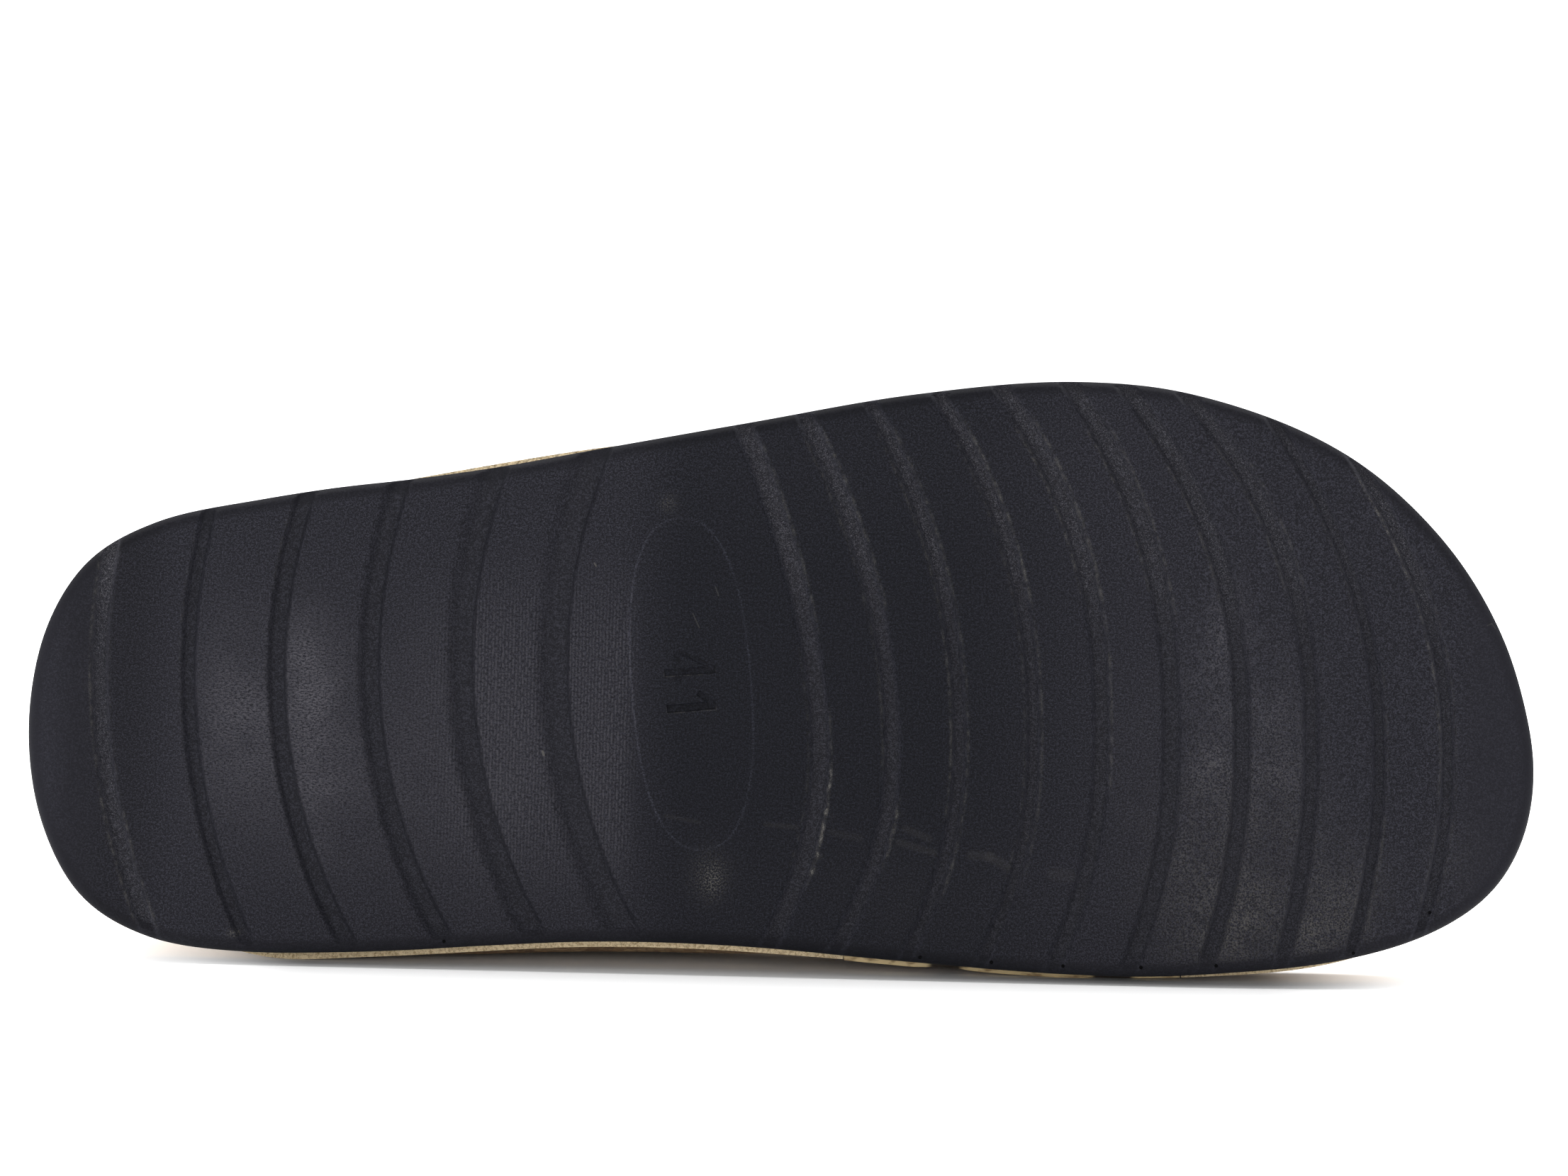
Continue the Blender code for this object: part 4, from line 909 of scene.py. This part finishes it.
class Tread:
    """The relief of the tread: lines that its mesh follows, and its height at any place, in millimetres."""

    def __init__(self):
        self.outline = self.smooth_outline()
        self.tree = KDTree(len(self.outline))
        for index, point in enumerate(self.outline):
            self.tree.insert(point.to_3d(), index)
        self.tree.balance()
        self.grooves = [Groove(self.heel_course(row), *row[-5:]) for row in HEEL_GROOVES]
        self.grooves += [Groove(self.fore_course(row), *row[-5:]) for row in FORE_GROOVES]

    @staticmethod
    def smooth_outline():
        """The sole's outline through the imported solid's upper corners, with steps of even length."""
        spots = set()
        for vert in frame["nodes"]["outsole"].data.vertices:
            place = in_shoe(vert.co)
            if abs(place.z - tread_rise(place.x) - OUTSOLE_THICKNESS) < TOP_TOLERANCE:
                spots.add((round(place.x, 3), round(place.y, 3)))
        middle = Vector((SOLE_LENGTH / 2, OVAL_MIDDLE[1]))
        ring = sorted((Vector(spot) for spot in spots), key=lambda spot: math.atan2(*(spot - middle).yx))
        dense = []
        for index, point in enumerate(ring):
            before = ring[index - 1]
            after, last = (ring[(index + ahead) % len(ring)] for ahead in (1, 2))
            chord = (after - point).length
            first_slope = (after - before) / ((after - point).length + (point - before).length)
            second_slope = (last - point) / ((last - after).length + (after - point).length)
            controls = (point, point + first_slope * chord / 3, after - second_slope * chord / 3, after)
            steps = max(1, round(chord / OUTLINE_STEP))
            curve = interpolate_bezier(*(control.to_3d() for control in controls), steps + 1)
            dense += [spot.to_2d() for spot in curve[:-1]]
        return dense

    @staticmethod
    def heel_course(row):
        def along(across):
            side = min(abs(across - row.apex_across), row.radius - 1)
            return row.apex + row.radius - math.sqrt(row.radius ** 2 - side ** 2)

        return along

    @staticmethod
    def fore_course(row):
        def along(across):
            side = across - FORE_GROOVE_APEX
            if side < 0:
                return row.apex - row.lateral_sweep * (-side / LATERAL_SWEEP_AT) ** row.lateral_power
            return row.apex - row.medial_sweep * (side / MEDIAL_SWEEP_AT) ** 2

        return along

    def inset(self, place):
        """How far inside the outline a place is."""
        _, index, _ = self.tree.find(place.to_3d())
        least = math.inf
        for number in (index - 1, index):
            start = self.outline[number]
            end = self.outline[(number + 1) % len(self.outline)]
            _, share = intersect_point_line(place, start, end)
            least = min(least, (start.lerp(end, held(share)) - place).length)
        return least

    @staticmethod
    def slope(course, across):
        """How far a groove moves along the shoe for each millimetre across it."""
        return course(across + 0.5) - course(across - 0.5)

    def beside(self, course, place):
        """How far a place is from the middle of a groove, towards the toe."""
        return (place.x - course(place.y)) / math.sqrt(1 + self.slope(course, place.y) ** 2)

    def groove_values(self, place):
        """How deep a place is in a groove, from 0 to 1, how pale and rubbed it is there, and the painted
        light on its sides.
        """
        floor = pale = rub = lift = 0.0
        rough = sum(ripple(row, place) for row in GROOVE_RIPPLES)
        low, high = SIDE_SHARES[0], SIDE_SHARES[-1]
        for number, groove in enumerate(self.grooves):
            beside = self.beside(groove.course, place) + rough
            if abs(beside) < groove.width / 2 + CLEAR_OF_GROOVE:
                near_heel = groove.width / 2 + beside
                near_toe = groove.width / 2 - beside
                floor = min(
                    eased((near_heel / groove.heelward - low) / (high - low)),
                    eased((near_toe / groove.toeward - low) / (high - low)),
                )
                lip = max(0.0, 1 - min(abs(near_heel), abs(near_toe)) / LIP_REACH)
                rub = lip * self.rubbed(number, -1 if near_heel < near_toe else 1, place.y)
                pale = groove.pale * (1 + OUTER_PALE * eased((OUTER_PALE_FROM - place.y) / OUTER_PALE_FADE))
                # Painted light on the groove's sides, lightening the shade that falls on them.
                lift = groove.lift * 4 * floor * (1 - floor)
        return floor, pale, rub, lift

    def relief(self, place, oval_half, number_depth):
        """How far the tread is drawn in at a place, and its values there for the finish."""
        inset = self.inset(place)
        floor, pale, rub, lift = self.groove_values(place)
        if place.y > 0:
            ending = held((inset - GROOVE_END[0]) / (GROOVE_END[1] - GROOVE_END[0]))
            floor *= ending
            rub *= ending
        share = max(0.0, 1 - inset / EDGE_INSET)
        edge = EDGE_RISE * (1 - math.sqrt(max(0.0, 1 - share * share)))
        up = max(edge, floor * GROOVE_DEPTH)
        oval = abs(self.oval_distance(place, oval_half))
        if oval < OVAL_BEAD[-1][0]:
            up -= between(OVAL_BEAD, oval)
            lift = OVAL_PALE * (OVAL_WORN + ripple(OVAL_RIPPLE, place)) * max(0.0, 1 - oval / OVAL_LINE)
        for hole in PIN_HOLES:
            if math.dist(place, hole) < PIN_HOLE_RADIUS * PIN_HOLE_DEEP:
                up = max(up, PIN_HOLE_DEPTH)
                # Painted shade darkens the hole.
                lift = -PIN_HOLE_PAINTED_SHADE
        for stroke in NUMBER_STROKES:
            off, lower = self.off_stroke(stroke, place)
            pressed = stroke.share * eased(0.5 - off / STROKE_EDGE)
            up = max(up, number_depth * pressed)
            # Painted shade darkens the pressed stroke, and a painted highlight lies along its lower side,
            # where light from above falls on its wall.
            if pressed:
                lift = -STROKE_PAINTED_SHADE * pressed
            if lower and 0 < off < STROKE_HIGHLIGHT_WIDTH:
                rub = max(rub, stroke.lip * (1 - off / STROKE_HIGHLIGHT_WIDTH))
        up += ripple(LAND_RIPPLE, place) * min(1.0, inset / EDGE_INSET)
        side = eased((CLEAN_EDGE - inset) / CLEAN_EDGE_FADE)
        tread = min(1.0, inset / EDGE_LINES[1])
        return up, floor * tread, pale * tread, rub * tread, lift * tread, side

    @staticmethod
    def stroke_run(stroke):
        """Where a stroke of the number starts, which way it runs and how long it is."""
        start = Vector((stroke.along, stroke.across))
        run = Vector((stroke.to_along, stroke.to_across)) - start
        return start, run.normalized(), run.length

    def off_stroke(self, stroke, place):
        """How far a place is outside a stroke, negative inside it, and whether it is below it."""
        start, run, length = self.stroke_run(stroke)
        offset = place - start
        beside = offset.cross(run)
        past_end = abs(offset.dot(run) - length / 2) - length / 2
        return max(past_end, abs(beside) - stroke.half_width), beside < 0

    def stroke_line(self, stroke, grow):
        """The outline of a stroke, moved out by grow."""
        start, run, length = self.stroke_run(stroke)
        beside = Vector((-run.y, run.x)) * (stroke.half_width + grow)
        steps = round(length / STROKE_STEP)
        spots = [start + run * (-grow + (length + 2 * grow) * step / steps) for step in range(steps + 1)]
        return [spot + beside for spot in spots] + [spot - beside for spot in reversed(spots)]

    @staticmethod
    def rubbed(number, side, across):
        """How much a groove's lip is rubbed pale at a place."""
        share = 0.0
        for row in RUBBED_LIPS:
            if row.groove == number and row.side == side:
                ends = min(across - row.start, row.end - across) / RUB_FADE
                share = max(share, row.share * held(ends))
        return share

    @staticmethod
    def oval_distance(place, half):
        """How far a place is outside the oval's line, close to the line."""
        offset = Matrix.Rotation(OVAL_TILT, 2) @ (place - Vector(OVAL_MIDDLE))
        parts = [abs(away / reach) for away, reach in zip(offset, half)]
        share = sum(part ** OVAL_SQUARENESS for part in parts)
        if share == 0:
            return -half[0]
        slopes = [OVAL_SQUARENESS * part ** (OVAL_SQUARENESS - 1) / reach for part, reach in zip(parts, half)]
        return (share - 1) / math.hypot(*slopes)

    @staticmethod
    def oval_line(half, grow):
        """A line around the size number, moved out by grow."""
        line = []
        for index in range(OVAL_POINTS):
            turn = math.tau * index / OVAL_POINTS
            spot = []
            for share, reach in zip((math.cos(turn), math.sin(turn)), half):
                spot.append(math.copysign(abs(share) ** (2 / OVAL_SQUARENESS), share) * (reach + grow))
            line.append(Matrix.Rotation(-OVAL_TILT, 2) @ Vector(spot) + Vector(OVAL_MIDDLE))
        return line

    def edge_line(self, inset):
        """The outline moved in."""
        line = []
        for index, point in enumerate(self.outline):
            run = (self.outline[(index + 1) % len(self.outline)] - self.outline[index - 1]).normalized()
            line.append(point + Vector((-run.y, run.x)) * inset)
        return line

    def groove_line(self, course, beside):
        """A line beside the middle of a groove, from past the outer edge to past the inner one."""
        line = []
        across, last = COURSE_ACROSS
        while across < last:
            away = Vector((1, -self.slope(course, across))).normalized() * beside
            point = Vector((course(across), across)) + away
            if self.contains(point):
                line.append(point)
            across += COURSE_STEP
        return line

    def contains(self, place):
        """Whether a place lies inside the outline."""
        inside = False
        for start, end in zip(self.outline, self.outline[1:] + self.outline[:1]):
            if (start.y > place.y) != (end.y > place.y):
                if place.x < start.x + (end.x - start.x) * (place.y - start.y) / (end.y - start.y):
                    inside = not inside
        return inside

    def sheet(self, oval_half, number_depth):
        """The tread as points in the shoe's own millimetres, faces, and the points' values for the finish."""
        points = []
        edges = []

        def add_line(line, closed):
            first = len(points)
            points.extend(line)
            edges.extend((first + index, first + index + 1) for index in range(len(line) - 1))
            if closed:
                edges.append((first + len(line) - 1, first))

        for inset in EDGE_LINES:
            add_line(self.edge_line(inset), True)
        for groove in self.grooves:
            half = groove.width / 2
            for share in SIDE_SHARES:
                add_line(self.groove_line(groove.course, share * groove.heelward - half), False)
                add_line(self.groove_line(groove.course, half - share * groove.toeward), False)
            for way in (-1, 1):
                add_line(self.groove_line(groove.course, way * (half + LIP_REACH)), False)
        for grow, _ in OVAL_BEAD:
            add_line(self.oval_line(oval_half, grow), True)
        turns = [math.tau * side / PIN_HOLE_SIDES for side in range(PIN_HOLE_SIDES)]
        for hole in PIN_HOLES:
            for radius in (PIN_HOLE_RADIUS, PIN_HOLE_RADIUS * PIN_HOLE_FOOT):
                ring = [Vector((math.cos(turn), math.sin(turn))) * radius for turn in turns]
                add_line([Vector(hole) + spot for spot in ring], True)
        for stroke in NUMBER_STROKES:
            for grow in (-STROKE_EDGE / 2, STROKE_EDGE / 2, STROKE_HIGHLIGHT_WIDTH):
                add_line(self.stroke_line(stroke, grow), True)
        points.extend(self.land_points(oval_half))
        spots, _, faces, _, _, _ = delaunay_2d_cdt(points, edges, [], FACES_INSIDE, SAME_POINT)
        made = []
        values = {name: [] for name in TREAD_VALUES}
        for spot in spots:
            up, *shares = self.relief(spot, oval_half, number_depth)
            heel = max(0.0, HEEL_BEVEL_LENGTH - spot.x) / HEEL_BEVEL_LENGTH
            made.append(Vector((spot.x, spot.y, up + tread_rise(spot.x) + HEEL_BEVEL * heel * heel)))
            for layer, share in zip(values.values(), shares):
                layer.append(share)
        return made, [tuple(reversed(face)) for face in faces], values

    def land_points(self, oval_half):
        """Points spread over the lands, clear of the lines."""
        spread = []
        row = 0
        across, last = LAND_ACROSS
        while across < last:
            along = (row % 2) * LAND_STEP / 2
            while along < SOLE_LENGTH:
                place = Vector((along, across))
                if self.clear(place, oval_half):
                    spread.append(place)
                along += LAND_STEP
            row += 1
            across += LAND_ROW_STEP
        return spread

    def clear(self, place, oval_half):
        """Whether a place is on a land, clear of all the lines."""
        for groove in self.grooves:
            if abs(self.beside(groove.course, place)) <= groove.width / 2 + CLEAR_OF_GROOVE:
                return False
        return (
            all(self.off_stroke(stroke, place)[0] > CLEAR_OF_STROKE for stroke in NUMBER_STROKES)
            and all(math.dist(place, hole) > CLEAR_OF_HOLE for hole in PIN_HOLES)
            and abs(self.oval_distance(place, oval_half)) > CLEAR_OF_OVAL
            and self.contains(place)
            and self.inset(place) > CLEAR_OF_EDGE
        )


class SANDAL_OT_sole(bpy.types.Operator):
    """Make the foam sole: soft groove lips, the size number in its raised oval, and pin holes"""

    bl_idname = "sandal.sole"
    bl_label = "Sole"

    def execute(self, context):
        look = context.scene.sandal_sole
        oval_half = (look.oval_half_width * PER_METRE, look.oval_half_length * PER_METRE)
        points, faces, values = Tread().sheet(oval_half, look.number_depth * PER_METRE)
        mesh = bpy.data.meshes.new("sole_sheet")
        mesh.from_pydata([shoe_point(*point) for point in points], [], faces)
        sole = bpy.data.objects.new("sole_sheet", mesh)
        context.scene.collection.objects.link(sole)
        for name, layer in values.items():
            point_values(sole, name, layer)
        self.close(sole)
        finished(sole, foam_finish(look), "outsole", smooth=math.radians(50))
        return {"FINISHED"}

    @staticmethod
    def close(sole):
        """Draws the edge of the tread up to the top of the sole and closes it there."""
        open_mesh(sole, "EDGE")
        bpy.ops.mesh.select_non_manifold(
            use_wire=False, use_multi_face=False, use_non_contiguous=False, use_verts=False
        )
        rise = SHOE_TURN @ Vector((0, 0, OUTSOLE_THICKNESS * MM))
        bpy.ops.mesh.extrude_region_move(TRANSFORM_OT_translate={"value": rise})
        mesh = bmesh.from_edit_mesh(sole.data)
        for vert in mesh.verts:
            if vert.select:
                place = in_shoe(vert.co)
                vert.co = shoe_point(place.x, place.y, OUTSOLE_THICKNESS + tread_rise(place.x))
        bmesh.update_edit_mesh(sole.data)
        bpy.ops.mesh.fill(use_beauty=True)
        bpy.ops.mesh.select_all(action="SELECT")
        bpy.ops.mesh.normals_make_consistent(inside=False)
        close_mesh()


# Where the strap's feet go down beside the cork, in millimetres, with side 1 for the inner side.
StrapFoot = namedtuple("StrapFoot", "side start end reach")
STRAP_FEET = (
    StrapFoot(1, 150.0, 212.0, 33.0),
    StrapFoot(-1, 128.0, 192.0, 45.0),
)
# The solids keep a gap at each foot. The cork keeps a share of it, and starts this far under the strap.
FOOT_GAP = 3.0
GAP_KEPT = 0.27
GAP_OVERLAP = 0.6
# The wall of the arch: how far across it starts, and where it swells along and up.
ARCH_WALL = 30.0
ARCH_ALONG = Stretch(66.0, 86.0, 122.0, 142.0)
ARCH_UP = Stretch(10.0, 14.0, 18.0, 32.0)


class SANDAL_OT_footbed(bpy.types.Operator):
    """Make the cork footbed with its granules"""

    bl_idname = "sandal.footbed"
    bl_label = "Footbed"

    def execute(self, context):
        look = context.scene.sandal_footbed
        cork = merged_copy("footbed", "cork_footbed")
        self.fit_to_strap(cork)
        rounded(cork, sharp=math.radians(35), crease=1.0)
        self.swell_arch(cork, look.arch_swell * PER_METRE)
        finished(cork, cork_finish(look), "footbed")
        return {"FINISHED"}

    @staticmethod
    def fit_to_strap(cork):
        """Draws the cork up to the strap where the strap's feet are let in."""

        def change(place):
            for foot in STRAP_FEET:
                for end, way in ((foot.start, -1), (foot.end, 1)):
                    gap = (place.x - end) * way
                    if place.y * foot.side > foot.reach and 0 < gap < FOOT_GAP:
                        place.x = end + way * (GAP_KEPT * gap - GAP_OVERLAP)
            return place

        move_points(cork, change)

    @staticmethod
    def swell_arch(cork, swell):
        """Lets the wall of the arch stand out softly over its lower edge."""

        def change(place):
            if place.y > ARCH_WALL:
                place.y += within(ARCH_ALONG, place.x) * within(ARCH_UP, place.z) * swell
            return place

        move_points(cork, change)


class SANDAL_OT_lining(bpy.types.Operator):
    """Make the suede lining"""

    bl_idname = "sandal.lining"
    bl_label = "Lining"

    def execute(self, context):
        look = context.scene.sandal_lining
        suede = merged_copy("insole", "suede_lining")
        rounded(suede, sharp=math.radians(40), crease=0.8)
        finished(suede, suede_finish(look), "insole")
        return {"FINISHED"}


# How far the strap's inner foot is pressed out, as places along the shoe and shares, and up to where.
FOOT_SWELL = ((150, 1.0), (164, 1.0), (167, 0.0), (171, 0.0), (174, 0.7), (192, 0.6), (196, 0.0))
FOOT_SWELL_TOP = 20.0
FOOT_SWELL_FADE = 9.0
# The foot's own finish fades out at its top. Inside and cut ends are told apart by the way they face.
FOOT_TOP = 12.5
FOOT_FADE = 2.0
STRAP_MIDDLE_UP = 22.0
FACES_INWARD = 0.3
FACES_AN_END = 0.6


class SANDAL_OT_strap(bpy.types.Operator):
    """Make the leather strap"""

    bl_idname = "sandal.strap"
    bl_label = "Strap"

    def execute(self, context):
        look = context.scene.sandal_strap
        strap = merged_copy("upper", "instep_strap")
        rounded(strap, sharp=math.radians(35), crease=0.85)
        self.press_foot(strap, look.foot_swell * PER_METRE)
        values = {name: [] for name in STRAP_VALUES}
        for vert in strap.data.vertices:
            place = in_shoe(vert.co)
            normal = SHOE_TURN.transposed() @ vert.normal
            middle = Vector((0.0, -place.y, STRAP_MIDDLE_UP - place.z)).normalized()
            values["inside"].append(1.0 if normal.dot(middle) > FACES_INWARD else 0.0)
            values["edge"].append(1.0 if abs(normal.x) > FACES_AN_END else 0.0)
            values["foot"].append(eased((FOOT_TOP - place.z) / FOOT_FADE) if place.y > 0 else 0.0)
        for name, layer in values.items():
            point_values(strap, name, layer)
        finished(strap, leather_finish(look), "upper")
        return {"FINISHED"}

    @staticmethod
    def press_foot(strap, swell):
        """Lets the strap's inner foot stand out where it is pressed between sole and cork."""

        def change(place):
            if place.y > ARCH_WALL and place.z < FOOT_SWELL_TOP:
                share = between(FOOT_SWELL, place.x) * eased((FOOT_SWELL_TOP - place.z) / FOOT_SWELL_FADE)
                place.y += share * swell
            return place

        move_points(strap, change)


class SANDAL_OT_buckle(bpy.types.Operator):
    """Make the buckle's ring and pin"""

    bl_idname = "sandal.buckle"
    bl_label = "Buckle"

    def execute(self, context):
        brass = brass_finish(context.scene.sandal_buckle)
        for node, name in (("buckle_frame", "buckle_ring"), ("buckle_prong", "buckle_pin")):
            piece = merged_copy(node, name)
            rounded(piece, sharp=math.radians(60), crease=0.5)
            finished(piece, brass, node)
        return {"FINISHED"}


# Where the lights stand, in metres, and the camera's own values.
TOP_LIGHT_PLACE = Vector((0, 0.41, 1.5))
FILL_LIGHT_PLACE = Vector((-1.2, -1.1, 0.7))
LOW_LIGHT_PLACE = Vector((0.1, -1.5, 0.2))
SENSOR_WIDTH = 36.0
VIEW_END = 300.0


class SANDAL_OT_stage(bpy.types.Operator):
    """Set the floor, the light and the camera"""

    bl_idname = "sandal.stage"
    bl_label = "Stage"

    def execute(self, context):
        look = context.scene.sandal_stage
        bpy.ops.object.select_all(action="DESELECT")
        bpy.ops.mesh.primitive_plane_add(size=look.floor_size)
        floor = context.object
        floor.name = "studio_floor"
        floor.data.materials.append(floor_finish(look))

        world = bpy.data.worlds.new("studio")
        world.use_nodes = True
        sky = world.node_tree.nodes["Background"]
        sky.inputs["Color"].default_value = (1, 1, 1, 1)
        sky.inputs["Strength"].default_value = look.sky
        context.scene.world = world

        top = self.light("top_light", TOP_LIGHT_PLACE, look.top_power)
        top.shape = "RECTANGLE"
        top.size = look.top_length
        top.size_y = look.top_width
        fill = self.light("fill_light", FILL_LIGHT_PLACE, look.fill_power)
        fill.size = look.fill_size
        low = self.light("low_light", LOW_LIGHT_PLACE, look.low_power)
        low.size = look.low_size
        self.camera(context, look)
        context.scene.view_settings.view_transform = "Standard"
        return {"FINISHED"}

    @staticmethod
    def light(name, place, energy):
        """An area light at a place, turned to the sandal."""
        data = bpy.data.lights.new(name, "AREA")
        data.energy = energy
        light = bpy.data.objects.new(name, data)
        bpy.context.scene.collection.objects.link(light)
        light.location = place
        light.rotation_euler = (-place).to_track_quat("-Z", "Y").to_euler()
        return data

    @staticmethod
    def camera(context, look):
        """The camera, square on to the tread but for its dip and roll."""
        data = bpy.data.cameras.new("photo_view")
        data.sensor_width = SENSOR_WIDTH
        data.lens = SENSOR_WIDTH * look.distance / look.frame_width
        data.clip_end = VIEW_END
        camera = bpy.data.objects.new("photo_view", data)
        context.scene.collection.objects.link(camera)
        rise = LEAN - look.dip
        back = Vector((0, -math.cos(rise), math.sin(rise)))
        right = Vector((1, 0, 0))
        up = back.cross(right)
        turned_right = math.cos(look.roll) * right + math.sin(look.roll) * up
        turned_up = math.cos(look.roll) * up - math.sin(look.roll) * right
        aim = shoe_point(look.aim_along * PER_METRE, look.aim_across * PER_METRE, 0)
        view = Matrix((turned_right, turned_up, back)).transposed().to_4x4()
        camera.matrix_world = Matrix.Translation(aim + back * look.distance) @ view
        context.scene.camera = camera


STEPS = (
    SANDAL_OT_stage,
    SANDAL_OT_sole,
    SANDAL_OT_footbed,
    SANDAL_OT_lining,
    SANDAL_OT_strap,
    SANDAL_OT_buckle,
)
LOOKS = (
    ("sandal_sole", SandalSole),
    ("sandal_footbed", SandalFootbed),
    ("sandal_lining", SandalLining),
    ("sandal_strap", SandalStrap),
    ("sandal_buckle", SandalBuckle),
    ("sandal_stage", SandalStage),
)


class SANDAL_PT_panel(bpy.types.Panel):
    """Lists the steps that dress the sandal"""

    bl_idname = "SANDAL_PT_panel"
    bl_label = "Sandal"
    bl_space_type = "VIEW_3D"
    bl_region_type = "UI"
    bl_category = "Sandal"

    def draw(self, context):
        for step in STEPS:
            self.layout.operator(step.bl_idname)


def register():
    for name, look in LOOKS:
        bpy.utils.register_class(look)
        setattr(bpy.types.Scene, name, PointerProperty(type=look))
    for step in STEPS:
        bpy.utils.register_class(step)
    bpy.utils.register_class(SANDAL_PT_panel)


def unregister():
    bpy.utils.unregister_class(SANDAL_PT_panel)
    for step in reversed(STEPS):
        bpy.utils.unregister_class(step)
    for name, look in reversed(LOOKS):
        delattr(bpy.types.Scene, name)
        bpy.utils.unregister_class(look)


def main():
    register()
    for step in STEPS:
        group, action = step.bl_idname.split(".")
        getattr(getattr(bpy.ops, group), action)()


if __name__ == "__main__":
    main()
